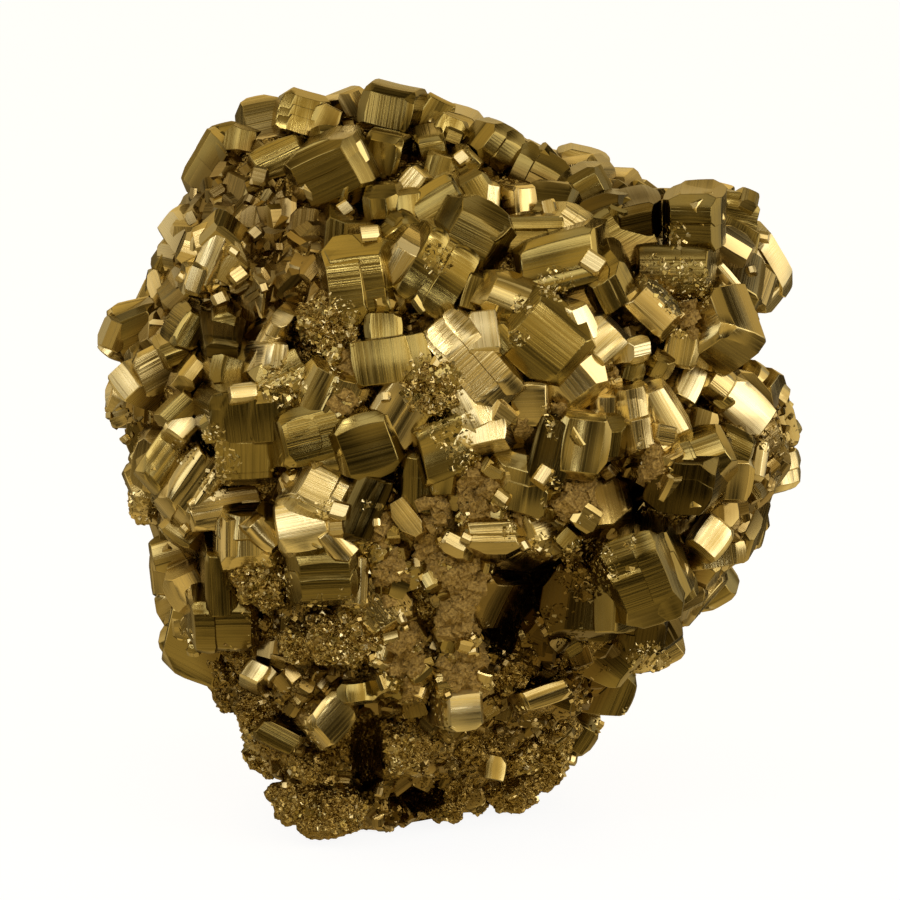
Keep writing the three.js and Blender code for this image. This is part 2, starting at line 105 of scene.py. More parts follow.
# The crystals that give the front its look. right, up: where the middle of the main face shows.
# long, wide: that face along and across its striations. turn, tilt: degrees that it looks to the
# right and up. slope: of its striations. out: how far it stands out of the mass.
FRONT_CRYSTALS = (
    # top edge, left to right
    (-31.5, 90.4, 9.2, 6, -30, 12, 60, 3),
    (-28.6, 94.8, 4.8, 4.8, -10, 35, 20, 2),
    (-17, 98.2, 6.2, 6.4, 18, 10, 72, 3),
    (-21.2, 92.2, 7, 4.6, -10, 25, 27, 2.5),
    (-14.3, 89, 9.6, 8.6, -8, -5, 27, 4.5),
    (-6.2, 98.8, 6.4, 6.8, -12, 8, 84, 4),
    (0.3, 97.2, 6, 4.8, 10, 8, 58, 3),
    (-13.4, 94.7, 7.2, 3.4, -5, 20, -12, 3),
    (-7.3, 92.4, 5.2, 5.2, -20, 0, 80, 2.5),
    (1.6, 85.2, 5, 4.8, 0, 5, 30, 3),
    (10, 93.6, 5.6, 5.4, 25, 0, -35, 3),
    (15.8, 89.8, 9, 6, 5, 15, -28, 1.5),
    (22.3, 88.2, 5.4, 4.8, 10, 8, 30, 3),
    (6.3, 81.2, 8.8, 8.2, 5, 12, -28, 4.5),
    (14.8, 81.6, 8.2, 5.2, 5, 25, 0, 3),
    (20.3, 82.8, 5.8, 4.8, 15, 28, -40, 5),
    (18.1, 77.4, 9, 7.4, -5, 12, 14, 4.5),
    (24.6, 83.4, 6.4, 5.4, 0, 10, 20, 4.5),
    (28.6, 84.8, 6.4, 4.4, 10, 25, -15, 2),
    (29, 82.2, 6.8, 4.8, 10, -15, 10, 4.5),
    (36.6, 82.2, 8, 8.2, -8, -2, 0, 5),
    (43, 83, 5.6, 7.2, 22, -2, -12, 4),
    (47.2, 76.8, 7.8, 9.8, 40, 5, 32, 3),
    (43.6, 69.6, 5.4, 4.6, 35, 0, 42, 3),
    # left side, downwards
    (-29, 76.4, 4.8, 4.6, 10, 0, 82, 3),
    (-40.2, 70.8, 8.8, 4.4, -15, 40, 18, 3),
    (-41.6, 66.9, 9.2, 6.2, -22, -12, 26, 5),
    (-38.2, 62.3, 5.8, 5.2, -10, 5, 30, 2),
    (-27.8, 62.2, 4.8, 4.8, 5, 0, 75, 2.5),
    (-23.3, 65, 8.6, 2.8, -15, 5, 64, 3.5),
    (-20.5, 60.5, 5.6, 5.6, 0, 10, 30, 3.5),
    (-25.3, 55.4, 6.8, 10, -5, 0, 94, 5.5),
    (-24.3, 49.6, 6.6, 7.8, 5, -12, 90, 3.5),
    (-40.6, 48.4, 5.2, 7.6, -28, 5, -12, 4.5),
    (-36.8, 50.5, 8.2, 4, 5, 12, 52, 4),
    (-33.2, 46.2, 8.2, 5.2, 0, 5, 54, 5),
    (-28.6, 42.8, 7.8, 4.2, 0, 5, 10, 2.5),
    (-25.5, 39, 6.2, 6.6, -5, 8, 92, 4),
    (-18.3, 41.3, 5.6, 7.2, -18, 20, 15, 5.5),
    (-38.2, 33.4, 6.8, 3.6, -35, 0, 94, 3),
    (-33.7, 32, 4.8, 4.8, 0, 10, -62, 4.5),
    (-36.4, 37, 5.8, 4.6, -20, 15, 20, 2.5),
    (-35, 28.2, 5.4, 5.2, -25, -5, 30, 2.5),
    (-30.4, 20.4, 5, 6, -25, 0, 80, 2.5),
    (-23.4, 8, 4.8, 5.4, -20, 5, 60, 2.5),
    (-29, 32.2, 6.8, 3.6, 0, -5, 92, 4),
    (-28.8, 25.8, 7.6, 5.2, 0, -15, 3, 4.5),
    (-23.3, 33.2, 7.6, 7.2, -5, 5, 20, 3.5),
    (-14.9, 33.3, 7.8, 6.8, -5, -5, 4, 5.5),
    (-11.2, 24.6, 8.6, 7.2, 5, 0, 10, 4),
    (-42.8, 58.8, 6.4, 6.4, -40, 10, 20, 2.5),
    (-39.4, 43.8, 6.2, 5.6, -30, 0, 10, 2.5),
    # middle
    (-10.2, 75.3, 8.8, 10.2, -8, 12, 8, 5),
    (-4.2, 75.2, 7.6, 5.2, -20, 0, 60, 4),
    (1.7, 75.9, 7.6, 7.6, 12, 8, -35, 5),
    (-5.3, 64, 4.6, 8.4, -6, 14, 100, 5),
    (5.8, 63.9, 6.4, 9.8, -2, 8, 42, 5),
    (11.6, 73, 7.8, 5.4, 5, 22, -24, 5.5),
    (16.8, 66.8, 10, 8.8, 8, 12, -40, 6),
    (20.4, 61.4, 7.4, 6.4, 5, 5, -52, 5),
    (5.8, 58.3, 5.6, 5, 5, 20, -66, 4.5),
    (7.2, 54.4, 4.2, 6.2, 0, 22, 100, 5),
    (0.2, 60.3, 7.6, 7, 0, 15, 5, 5.5),
    (-4.5, 56, 7.2, 6.2, -5, 0, 60, 4),
    (2.5, 51.5, 8, 6.8, 0, 5, 20, 4.5),
    (-15.8, 59, 5.4, 4.8, -5, 5, 62, 4),
    (-15.4, 53.6, 8.6, 5.4, 5, 8, 13, 4.5),
    (-8.6, 51.5, 7, 6.2, 5, -3, 15, 5),
    (-14.4, 45.8, 6.8, 5.8, 12, 22, -28, 5),
    (-9.1, 43, 6.6, 4.4, 15, -5, 65, 4.5),
    (8.4, 39.5, 6.2, 4, 0, 20, 4, 4.5),
    (11.8, 46, 7.2, 6.2, -15, -5, 80, 3.5),
    (17.2, 50.6, 7, 4.6, 10, 0, 75, 4),
    (21.3, 51.3, 7.6, 6.2, 5, 5, 80, 5),
    (-1.6, 46, 6.6, 3.8, -10, -5, 88, 3),
    # right side, downwards
    (24.7, 67, 5.2, 5.4, 20, 15, 38, 5),
    (25.8, 73.4, 5.8, 4.6, 12, -10, -62, 4),
    (31.5, 71.4, 5.8, 4, 10, 15, -42, 4.5),
    (34, 76.2, 8, 6.4, 0, 10, 0, 3),
    (33.2, 56.6, 8.2, 4.6, 28, 12, -65, 5.5),
    (29.1, 56, 6.6, 3.6, 15, 8, 98, 5),
    (41, 60.3, 5.2, 4.8, 18, 8, -40, 4.5),
    (44.6, 56.9, 8.2, 5.4, 32, 12, -42, 5),
    (47.6, 60.8, 7.6, 4, 45, 20, -42, 3.5),
    (49, 59, 5.6, 4.6, 60, 5, -60, 3),
    (36.9, 51, 7.6, 5.6, 3, 28, 18, 4.5),
    (35.2, 45.8, 6.4, 6.6, -8, -8, 80, 5),
    (43, 51.4, 5.4, 4.2, 15, 5, -28, 4),
    (42.8, 46.6, 6, 4.8, 10, -10, 85, 3),
    (50.2, 48.6, 5.4, 5.6, 40, 12, 95, 2.5),
    (39.8, 39.3, 4.8, 4.6, 8, 18, 50, 6.5),
    (39.8, 36.2, 3.4, 7.6, 5, 0, 98, 4),
    (39.4, 31.9, 7.2, 6.2, 15, -12, 30, 3.5),
    (45.2, 40.2, 6.2, 5.4, 30, 0, 80, 2.5),
    (29, 32.6, 8.6, 10.4, -6, -4, 20, 7),
    (32.3, 26, 6.2, 4.8, 12, -10, -62, 4.5),
    (29.2, 25.2, 5.6, 5.4, -8, -15, 80, 4),
    (32.2, 23.4, 5.2, 5, 15, -10, 30, 4),
    (34.2, 33.8, 8.2, 4.4, 30, 0, -60, 5),
    # foot
    (-13.6, 13.6, 5.6, 4.4, 8, 5, 46, 4.5),
    (5.2, 14.6, 4.8, 4.8, 14, 5, 2, 6.5),
    (25, 17.2, 6.6, 6.2, 25, -10, 75, 3.5),
    (20.6, 11, 5.4, 5.2, 20, -10, 60, 3),
    (16.6, 6, 5.2, 5.2, 10, -5, 30, 2.5),
    (-28.8, 17.5, 5.4, 5.4, -20, 0, 30, 2),
    (-24.5, 13.6, 5.4, 5.4, -10, 0, 10, 2),
    (-19.6, 1.6, 6.4, 5.6, -20, 0, 20, 4.5),
    (-13.8, -0.6, 7.4, 6, 0, -5, 6, 5),
    (-4, 9.5, 6, 6, 0, 0, 30, 3),
    (12, 2.4, 6.4, 5, 10, -10, 10, 4),
)

# Smaller crystals between them, in the same terms.
SMALL_CRYSTALS = (
    (-25.8, 94.6, 4.4, 4.4, 5, 15, 80, 3),
    (-14.6, 97.4, 4.4, 3.8, 10, 20, 60, 2),
    (3.2, 95.8, 3.8, 4.2, 15, 10, 70, 2),
    (-3, 89.3, 3.4, 3.4, -27, 19, 60, 3.5),
    (0.3, 93.3, 3.4, 3.2, 5, -8, 12, 2.5),
    (1.7, 90.6, 3.4, 3.6, 10, 5, 70, 2.5),
    (-6.6, 85, 4.4, 5, -8, 0, 95, 3),
    (-2.6, 85.3, 4, 3.4, 12, 12, 92, 3.5),
    (6.7, 87, 5, 4, 12, 10, -60, 3.5),
    (4.6, 90.4, 4.4, 3.6, 5, 0, 40, 2.5),
    (13.8, 85.6, 4.4, 3.4, 31, 14, 88, 3.5),
    (9.4, 86.4, 4.6, 2.2, 31, 14, 80, 3),
    (17.6, 87, 4.6, 3.8, 0, 25, 0, 2.5),
    (39.3, 87.2, 6, 3, 0, 25, 0, 1),
    (-31.7, 78.2, 6.8, 2.8, -27, 19, 72, 8),
    (-35.4, 76, 5.8, 3.4, -30, 5, 100, 2),
    (-45, 66.3, 3.4, 3.2, -27, 19, 60, 3),
    (-34.4, 69.4, 3.4, 3.4, -5, 10, 40, 2.5),
    (-33, 67.6, 4.8, 3.8, 15, 0, 60, 3.5),
    (-28.9, 67.6, 3.8, 3.8, 0, -10, 10, 3),
    (-29.3, 64.6, 4.4, 3, 0, -20, 0, 5),
    (-42.6, 61, 5, 4.4, -27, 19, 140, 9),
    (-43.6, 57.2, 4.8, 4, -25, -10, 150, 2.5),
    (-35.4, 64.2, 3.6, 3.2, 10, -5, 20, 3),
    (-32.8, 62.2, 5.2, 2.8, 10, 10, 50, 3),
    (-35.7, 57.2, 5.8, 3, -25, 15, 48, 3.5),
    (-34.8, 54.8, 3.4, 3, -1, 24, 50, 3.5),
    (-20.8, 64.3, 3.4, 2.6, 31, 14, 80, 5),
    (-26.2, 59.4, 4, 2.4, -1, 24, 8, 7.5),
    (-40.3, 43.2, 4.6, 4.2, -20, 0, 0, 2.5),
    (-22.6, 39.5, 5.2, 3.2, 25, 15, -50, 3.5),
    (-34.6, 40.2, 5.2, 3.8, -10, 20, -35, 2.5),
    (-9.8, 32.8, 6.2, 2.4, 20, 0, 86, 4.5),
    (-18.2, 23, 4.2, 5, 0, -8, 90, 4),
    (6.6, 73, 4.8, 3.4, 20, 0, 70, 2.5),
    (-6.6, 68.4, 3.8, 5.2, -5, 20, 95, 3.5),
    (7.4, 68, 5.4, 3.8, -1, 24, 98, 6.5),
    (9.9, 66.6, 4, 3.8, 5, 5, -50, 5.5),
    (14, 57.8, 4.4, 4.6, -8, 0, 4, 4),
    (-11.2, 58.4, 4.6, 3.8, 5, -5, 70, 3),
    (-14.5, 49.4, 5.2, 2.6, 0, -10, 5, 3.5),
    (-12.8, 41.6, 3.6, 3.2, -1, 24, 60, 4.5),
    (-12.6, 38, 4.2, 2.8, 15, 10, -50, 6),
    (3.6, 38.4, 4.4, 2.6, -1, 24, -30, 4),
    (25.6, 52, 5.2, 3.6, 20, -10, 85, 3.5),
    (2.2, 46.6, 4.6, 3.4, 5, -5, 82, 3.5),
    (-3.2, 41.6, 5.4, 2.8, 0, 10, -52, 4),
    (22, 69, 5.4, 3, 31, 15, 110, 5.5),
    (41.3, 72, 4.2, 3.6, 20, -5, 50, 3.5),
    (40.4, 68.6, 4.6, 3, 15, -5, -15, 3.5),
    (41.9, 75.7, 5.2, 2, 31, 14, -55, 4),
    (29.5, 65.2, 4.2, 3.2, 31, 14, 5, 5),
    (35.2, 65.6, 4.6, 4.4, 0, 5, 80, 3.5),
    (38.2, 65, 4.6, 2.8, -10, -10, 95, 3.5),
    (40.6, 65.6, 3.4, 3.2, 15, 5, 22, 3.5),
    (28.4, 62, 4, 3.4, 5, -5, 75, 4),
    (32.1, 62.4, 3.8, 3.2, 0, -8, 60, 3.5),
    (36.7, 60.8, 4.4, 3.4, 31, 14, 50, 5.5),
    (25.3, 56.8, 5.2, 4, 5, -5, 90, 4),
    (38.6, 46, 6.6, 2.8, 40, 0, 76, 6),
    (46.6, 49.8, 5, 2.2, 31, 14, 75, 3.5),
    (48.4, 52.4, 4, 4, 30, 0, 30, 2.5),
    (47.2, 46.2, 6.2, 3, 30, -5, 70, 2),
    (24.3, 29.4, 6.8, 2.8, -30, 0, 92, 4),
    (19.4, 38.6, 3, 2.8, 0, 10, 50, 4),
    (-24.5, 20.3, 3, 2.8, -1, 24, 60, 4),
    (-21.4, 11.4, 5.6, 2.6, 0, 20, -28, 3),
    (-9.8, 17.3, 2.8, 5.2, 0, 12, 94, 5),
    (9.2, 6.8, 3, 2.8, 5, 10, 80, 4),
    (13, 7.3, 4.8, 4, 10, -5, 15, 3),
    (-17.4, 6.2, 5, 3.6, -10, -5, -30, 3),
    (16.3, 17, 5.8, 2.8, 10, 15, 18, 4),
    (-14, 68.3, 7.6, 7.2, 0, 5, 30, 3.4),
)

# The solid's other crystals, made by the same rules and the same number series.
SERIES_FACTOR = 1664525
SERIES_STEP = 1013904223
SERIES_LENGTH = 2 ** 32
GROWN_INTO = 1.15
ROOT_DEPTH = 2.5
ROUND_LEVELS = (6, 16, 26, 36, 46, 56, 66, 76, 85, 89.5, 94, 97.5)
ROUND_SPACING = 13
ROUND_SIZES = (11.5, 18)
ROUND_OUT = (1, 3.4)
ROUND_SEED = 21
ROUND_STRAY = 1.2
ROUND_STRAY_SHARE = 0.2
ROUND_TOP = 80
ROUND_TOP_SHARE = 0.6
ROUND_FROM_SINE = 0.18
FILL_SPACING = 9.8
FILL_HEIGHTS = (2, 88)
FILL_SIZES = (7.5, 11)
FILL_OUT = (0.6, 2.2)
FILL_STRAY = 1.5
FILL_SEED = 5
FILL_TURN = 1 / 80
FILL_CLEAR = 1 / 4
LOOSE_LONG = (0.85, 1.1)
LOOSE_WIDE = (0.75, 1)
LOOSE_LEAN = 0.6

# The crystals of the front reach further into each other than their boxes do, but not at the outline.
FACE_MARGIN = 1.5
EDGE_MARGIN = 0.9
OUTLINE_LEFT = -36
OUTLINE_RIGHT = 38
OUTLINE_TOP = 86
OUTLINE_CORNER = (26, 80)

# Growth steps on the larger crystals: parallel blocks that stand a little proud. From what area of the
# face, how many at most, share of the face, and how far proud.
STEPPED_AREA = 40
MOST_STEPS = 2
STEP_SHARE = (0.4, 0.85)
STEP_PROUD = (0.1, 0.28)
STEP_SEED = 7

# The mass itself shows in the gaps, as small rough facets. It is a grid wrapped round and drawn
# together at both ends. Lumps and powder lumps: width and height.
MASS_AROUND = 300
MASS_UP = 170
MASS_CAP_SHARE = 0.09
MASS_INWARD = 0.9
MASS_LUMPS = ((9, 1.5), (3.2, 0.9))
FACET_STRAY = 0.15
RIM_ROUGH = 0.8
SEAM = 0.4999
MERGED_WITHIN = 0.01
POWDER_RISE = 3.4
POWDER_LUMPS = ((2.6, 1.3), (1.1, 1))
POWDER_SPREAD = 2.5

# Powder lies in these places of the front: right, up, half width, half height.
POWDER_PLACES = (
    (6.5, 45.5, 4, 5.5), (2, 36.5, 5, 5), (4.5, 28.5, 4, 5.5), (-7, 41, 3, 6), (20, 44.5, 4.5, 3.5),
    (17, 55, 6, 2.5), (24, 60, 2.5, 6), (36, 69, 3, 2.5), (4.5, 20.5, 4.5, 4.5), (-4, 22, 4, 6),
    (-30, 26, 5, 3), (-12, 60, 3, 6), (26, 37, 3, 4), (5, 33, 5, 6), (-5.5, 35, 3, 5),
    (10.5, 40.5, 3, 3), (0, 42, 3, 4), (-18, 47, 2.5, 3), (31, 50, 2, 5),
)

# Templates of one crystal. Pyrite cubes carry leaning faces beside the striated ones, and some corners
# are cut. Slices let the faces bulge like barrels. For each kind: how many templates, seed, slices,
# share of a face that the leaning ones take, how far from the middle the corner cuts are, and bevel.
LEAN = math.atan(1 / 2)
LEAN_STRAY = (0.5, 1.3)
SLICE_STRAY = 0.2
LINED_FACING = 0.97
TEMPLATES = {
    "large": (18, 1, 5, (0.04, 0.62), (0.67, 0.96), 0.008),
    "middle": (14, 2, 4, (0.05, 0.7), (0.67, 0.96), 0.01),
    "plain": (14, 6, 1, (0.05, 0.7), (0.67, 0.96), 0.01),
    "small": (14, 3, 1, (0.02, 0.6), (0.68, 1.0), 0),
    "grain": (8, 4, 0, None, (0.74, 1.4), 0),
}

# How a crystal departs from its template: wider at the root, tapered, skewed and rippled.
ROOT_FLARE = 0.3
SIDE_FLARE = 0.1
TAPER = 0.14
SKEW = 0.09
RIPPLES = 5
RIPPLE_PHASES = 6
SHARP_DEGREES = 18

# Striations: the faces of one crystal lie this far apart on the pattern, which starts anywhere in this
# much. Their strength is drawn from a range and raised to a power, and is less on the leaning faces.
PATTERN_APART = 30
PATTERN_STRAY = 400
LINED_RANGE = (0.1, 1)
LINED_RARITY = 1.5
LEANING_LINED = 0.45

# How much faces bulge and ripple, as shares of the crystal's size.
FRONT_BULGE = (0.03, 0.22)
SIDE_BULGE = (0.03, 0.2)
SMALL_BULGE = (0.02, 0.18)
CRYSTAL_WOBBLE = 0.01
GAP_BULGE = (0.02, 0.15)
GAP_WOBBLE = 0.004
CRUMB_BULGE = (0.02, 0.2)
CRUMB_WOBBLE = 0.08
GLINT_BULGE = (0, 0.05)

# Lumps of grains, in place of crystals: right, up, half width, half height of the places of the front
# where they are, and the crystals that stand among them all the same.
GRANULAR_PLACES = (
    (-18, 2, 14, 14), (-24, 12, 8, 14), (-4, 9.5, 14, 12), (14, 12, 14, 14), (-11, 25, 9, 7),
    (12, 24, 10, 8), (-24, 31, 5, 5), (0.3, 60.3, 4.5, 4.5), (-2, 26, 10, 8), (-14, 68.3, 1, 1),
)
STANDING_CRYSTALS = (
    (5.2, 14.6), (-13.6, 13.6), (25, 17.2), (20.6, 11), (-9.8, 17.3), (-21.4, 11.4), (-24.5, 20.3),
    (9.2, 6.8), (16.3, 17),
)
STANDING_WITHIN = 0.5

# The back is lumps too, up to this height. Of the lumps: fineness, squareness, and the width and share
# of their bumps.
LOW_BACK = 24
LUMP_FINENESS = 5
LUMP_SQUARENESS = 0.75
LUMP_DEPTHS = ((1.8, 0.3), (0.7, 0.1))
GRAIN_STRAY = 0.1

# Small glittering grains cover the crystals in these places of the front: right, up, radius.
GRAIN_SPOTS = (
    (1, 78, 2.2), (12.5, 67, 1.5), (17.5, 74.5, 2.6), (34.2, 81.3, 2), (-20.5, 60.5, 3.3),
    (-14, 68.5, 4.6), (-30.3, 53, 2), (-28.5, 49.5, 2), (-30, 46.3, 2.3), (-34.5, 51.3, 2),
    (-40.7, 43, 2.4), (0.3, 60.3, 4.5), (3, 54.5, 3.5), (4.5, 50, 2.5), (48.5, 52.3, 2.3),
    (30.5, 21.7, 3), (22, 34.5, 4.6), (15.5, 37.5, 2), (-23, 32.5, 3.8), (-11, 24.5, 5), (-20.5, 27, 3),
    (35.5, 74, 4.2), (31.5, 76, 2.6), (13, 71.5, 1.6), (-14.8, 43, 1.5),
)

# Around a crystal that stands among grains, this far, none grow on it.
BARE_AROUND = 3

# Tone and strength of the striations of single crystals, named by where they show. A tone runs from -2,
# painted shade, over 0 to 1, the usual range, to 2, a painted highlight. None leaves the value as it is.
SHADED_CRYSTALS = (
    (29, 82.2), (29.2, 25.2), (35.2, 45.8), (-9.1, 43), (24.6, 83.4), (-29.3, 64.6), (28.6, 84.8),
    (40.4, 68.6), (32.3, 26), (38.2, 65), (17.2, 50.6),
)
DARK_CRYSTALS = (
    (-14.3, 89), (36.6, 82.2), (-41.6, 66.9), (29, 32.6), (-25.3, 55.4), (-8.6, 51.5), (-14.9, 33.3),
    (-28.8, 25.8), (6.3, 81.2), (-6.2, 98.8), (-1.6, 46), (25.8, 73.4), (25, 17.2), (20.6, 11),
    (-29, 32.2), (22.3, 88.2), (15.8, 89.8), (43, 83), (25.6, 52), (-28.9, 67.6), (28.4, 62), (34, 76.2),
    (10, 93.6), (-29, 76.4), (-25.8, 94.6), (6.6, 73), (-34.4, 69.4), (-21.4, 11.4), (43, 51.4),
    (19.4, 38.6),
)
DIM_CRYSTALS = (
    (0.3, 97.2), (1.6, 85.2), (-13.4, 94.7), (-7.3, 92.4), (6.7, 87), (4.6, 90.4), (17.6, 87),
    (-2.6, 85.3), (-10.2, 75.3), (1.7, 75.9), (16.8, 66.8), (-5.3, 64), (2.5, 51.5), (-24.3, 49.6),
    (18.1, 77.4), (-6.6, 85), (14.8, 81.6), (-15.4, 53.6), (3.2, 95.8), (0.3, 93.3), (1.7, 90.6),
    (-17, 98.2), (-14.6, 97.4), (-28.6, 94.8), (-9.8, 17.3), (-6.6, 68.4), (-35.7, 57.2), (-33, 67.6),
)
SMOOTH_CRYSTALS = (
    (15.8, 89.8), (22.3, 88.2), (24.6, 83.4), (-15.8, 59), (-8.6, 51.5), (21.3, 51.3), (11.8, 46),
    (39.4, 31.9), (34.2, 33.8), (10, 93.6),
)
LIGHT_CRYSTALS = (
    (-42.8, 58.8), (-4.5, 56), (20.4, 61.4), (29.1, 56), (40.6, 65.6), (-12.6, 38), (-33.7, 32),
    (-43.6, 57.2), (48.4, 52.4), (-22.6, 39.5), (5.8, 63.9),
)
BRIGHT_CRYSTALS = (
    (-31.7, 78.2), (-3, 89.3), (-20.8, 64.3), (-26.2, 59.4), (-42.6, 61), (-34.8, 54.8), (-18.3, 41.3),
    (-14.4, 45.8), (7.4, 68), (5.8, 58.3), (7.2, 54.4), (29.5, 65.2), (36.7, 60.8), (33.2, 56.6),
    (44.6, 56.9), (50.2, 48.6), (39.8, 39.3), (47.2, 76.8), (20.3, 82.8), (9.4, 86.4), (24.7, 67),
    (22, 69), (43.6, 69.6), (-12.8, 41.6), (-24.5, 20.3), (5.2, 14.6), (41.9, 75.7), (46.6, 49.8),
    (-45, 66.3),
)
# Tones below 0 paint shade into a crystal's colour, tones above 1 a highlight.
CRYSTAL_LOOKS = (
    (SHADED_CRYSTALS, -1.7, 0.8),
    (DARK_CRYSTALS, -0.8, 0.8),
    (DIM_CRYSTALS, -0.25, None),
    (SMOOTH_CRYSTALS, None, 0.15),
    (LIGHT_CRYSTALS, 1.1, None),
    (BRIGHT_CRYSTALS, 1.9, None),
)
LISTED_WITHIN = 0.3

# Places where crystals that aren't listed get painted shade, a darker tone: right, up, half width, half
# height, tone.
SHADED_PLACES = (
    (17, 22, 9, 7, -2),
    (14, 31, 6, 6, -2),
    (-9, 9, 3, 7, -2),
    (-2, 2, 6, 3, -2),
    (12, 87, 24, 11, -0.9),
    (21.5, 29, 5.5, 5.5, -1.6),
)

# The crystals made by rule get painted shade at the top, a darker tone above this height.
HIGH_SIDES = 80
HIGH_SIDES_TONE = -0.8

# Rays find where small things grow: from the eye over the front, and from outside all round.
FRONT_AREA = (-48, 54, -2, 105)
FRONT_RAY_STRAY = 0.45
ROUND_RAY_STRAY = 0.4
ROUND_RAY_START = 20
ROUND_FACING_EYE = 0.3
TOWARDS_RAY = 0.5

# Where small things grow. The upper left of the front has many small crystals and no large ones. A
# patchy noise, with patches of this size in mm, says where there are grains.
MANY_SMALL_LEFT_OF = -15
MANY_SMALL_ABOVE = 73
GAP_GRAINS_POWDER = 0.6
GRAIN_PATCHES = 3
GRAINS_FROM = -0.05
POWDER_GRAINS_FROM = 0.25
ROUND_PATCHES = 9
ROUND_GRAINS_FROM = 0.25
PATCH_LEFT_OF = -17
PATCH_HEIGHTS = (73.5, 87.5)
PATCH_BARE = ((-31.5, 90.4, 5), (-31.7, 78.2, 3.2))

# Powder crumbs: seed, spacing, sizes, how far out as a share of the size, leaning, amount of powder.
CRUMB_SEED = 38
CRUMB_SPACING = 0.75
CRUMB_SIZES = (0.7, 1.9)
CRUMB_OUT = (0.2, 0.6)
CRUMB_LEAN = 0.9
CRUMB_POWDER = 0.6

# Tiny cubes that catch the light: right, up, width.
GLINTS = (
    (-29.7, 87.3, 1.5), (-25.3, 86.3, 1.2), (-23.8, 89.3, 2.2), (-23.2, 73.8, 1.2), (-26.8, 75.5, 2.2),
    (-29.5, 72.4, 2), (-24.5, 81.4, 1.6), (-27.5, 79, 1.3), (-33.5, 83.5, 1.4), (-21, 79.5, 1.3),
    (-32.8, 87, 1.6), (16.8, 84.8, 2), (22.8, 77.3, 2.4), (46.5, 81, 1.5), (45, 76.3, 1.3),
    (4.5, 92, 1.8), (-11.8, 84.8, 2), (-8.3, 81.3, 2.2), (-34.2, 40.3, 1.2), (15.8, 47.6, 2.1),
    (20.6, 37.3, 0.8), (16, 25.8, 1.2), (19.5, 8.3, 1.7), (5.2, 38.9, 1.5), (-12.6, 42.6, 2.2),
    (-13.2, 40.3, 2), (-1.8, 35.4, 1), (-4.2, 34.3, 1), (-4, 27.5, 1.2), (-3.3, 26.3, 0.8),
    (0.6, 23.8, 1), (6, 23, 1), (10.3, 22.8, 0.9), (10.6, 21.4, 0.7), (9.4, 20.6, 0.9), (5.8, 27.5, 0.7),
    (-8.1, 22.1, 1), (13.2, 37.8, 1.2), (15.3, 37.3, 0.9), (-7.5, 41.1, 1), (-22.4, 19.7, 1.7),
    (-19.3, 19.8, 1.6), (-15, 18.4, 1.8), (-13.7, 20.2, 1), (-18.4, 9.3, 1.3), (-20.9, 6, 1),
    (-20.3, 4.2, 0.9), (-1.3, 17.3, 1.5), (9.8, 12, 1), (11.3, 12, 1), (14.8, 11.9, 1),
    (15.6, 13.5, 1.2), (17, 13, 1), (-7.2, 3.4, 1), (2.5, 16.9, 1), (1.2, 63.6, 1.6), (-34.8, 75.4, 1.3),
    (-42.6, 52.8, 1.2), (-6.2, 58.6, 1.2),
)
GLINT_STRAY = 0.12
GLINT_LONG = (0.9, 1.3)
GLINT_DEEP = 1.5
GLINT_OUT = 0.5
# Their tone, above 1, paints a slight highlight into the glints' colour.
GLINT_TONE = 1.2
GLINT_LINED = 0.1
GLINT_SEED = 41

# Area lights that look at the middle of the specimen: name, degrees to the right and up, distance,
# width and height in metres, and brightness in watts per sq m and sr. The first makes the glints.
SOFTBOXES = (
    ("front_top", -2, 35, 0.6, 0.28, 0.2, 1.55),
    ("left", -50, 24, 0.6, 0.24, 0.34, 1.75),
    ("right", 65, 13, 0.6, 0.34, 0.36, 1.8),
    ("top", 10, 78, 0.6, 0.3, 0.24, 0.5),
    ("right_fill", 98, 10, 0.6, 0.5, 0.5, 0.5),
    ("left_fill", -98, 10, 0.6, 0.5, 0.5, 0.35),
    ("left_spark", -30, 36, 0.6, 0.06, 0.06, 9),
    ("right_spark", 34, 32, 0.6, 0.06, 0.06, 9),
    ("low_spark", 12, -4, 0.6, 0.05, 0.05, 4),
)
LIGHT_TARGET = (2.8, 0, 51)

# The room round the specimen, as the world: its colour, its brightness from low to high, and the
# patches that make it uneven.
ROOM_COLOUR = (1.03, 0.77, 0.32, 1)
ROOM_HEIGHTS = (-0.5, 1)
ROOM_LEVELS = (0.45, 0.6)
ROOM_PATCHES = 1.7
ROOM_PATTERN = (0.35, 0.65)
ROOM_UNEVEN = (0.1, 2)
FLOOR_WIDTH = 6
FLOOR_COLOUR = "#70747c"
FLOOR_GLOW = 0.9
WHITE = (1, 1, 1, 1)

# Colours: of usual faces, of painted shade and a painted highlight on faces, of painted shade at the roots,
# of grains, and of powder.
BRASS = ("#a08f55", "#cab885")
PAINTED_SHADE_BRASS = "#3f3114"
PAINTED_HIGHLIGHT_BRASS = "#eaddb0"
PAINTED_ROOT_SHADE = "#6a552a"
GRAIN_BRASS = ("#725d2c", "#ab9458")
POWDER_BROWN = ("#6f5725", "#c0a35f")

# Striations in three widths: lines per mm across, changes per mm along, and height of the steps in mm.
STRIATIONS = ((0.9, 0.003, 0.11), (3.8, 0.006, 0.036), (11, 0.02, 0.018))

# What the middle striations do: painted shade on a face's streaks, and its roughness, each from a range of
# the pattern.
STREAK_PATTERN = (0.32, 0.58)
STREAK_SHADE = (0.7, 1)
FACE_PATTERN = (0.3, 0.9)
FACE_ROUGHNESS = (0.13, 0.34)
HIGHLIGHT_ROUGHER = 0.25

# The painted shade at the roots, a brown, ends this far above the mass, in mm. At the mass it has this
# share.
ROOT_SHADE_REACH = 3.2
ROOT_SHADE_SHARE = 0.75

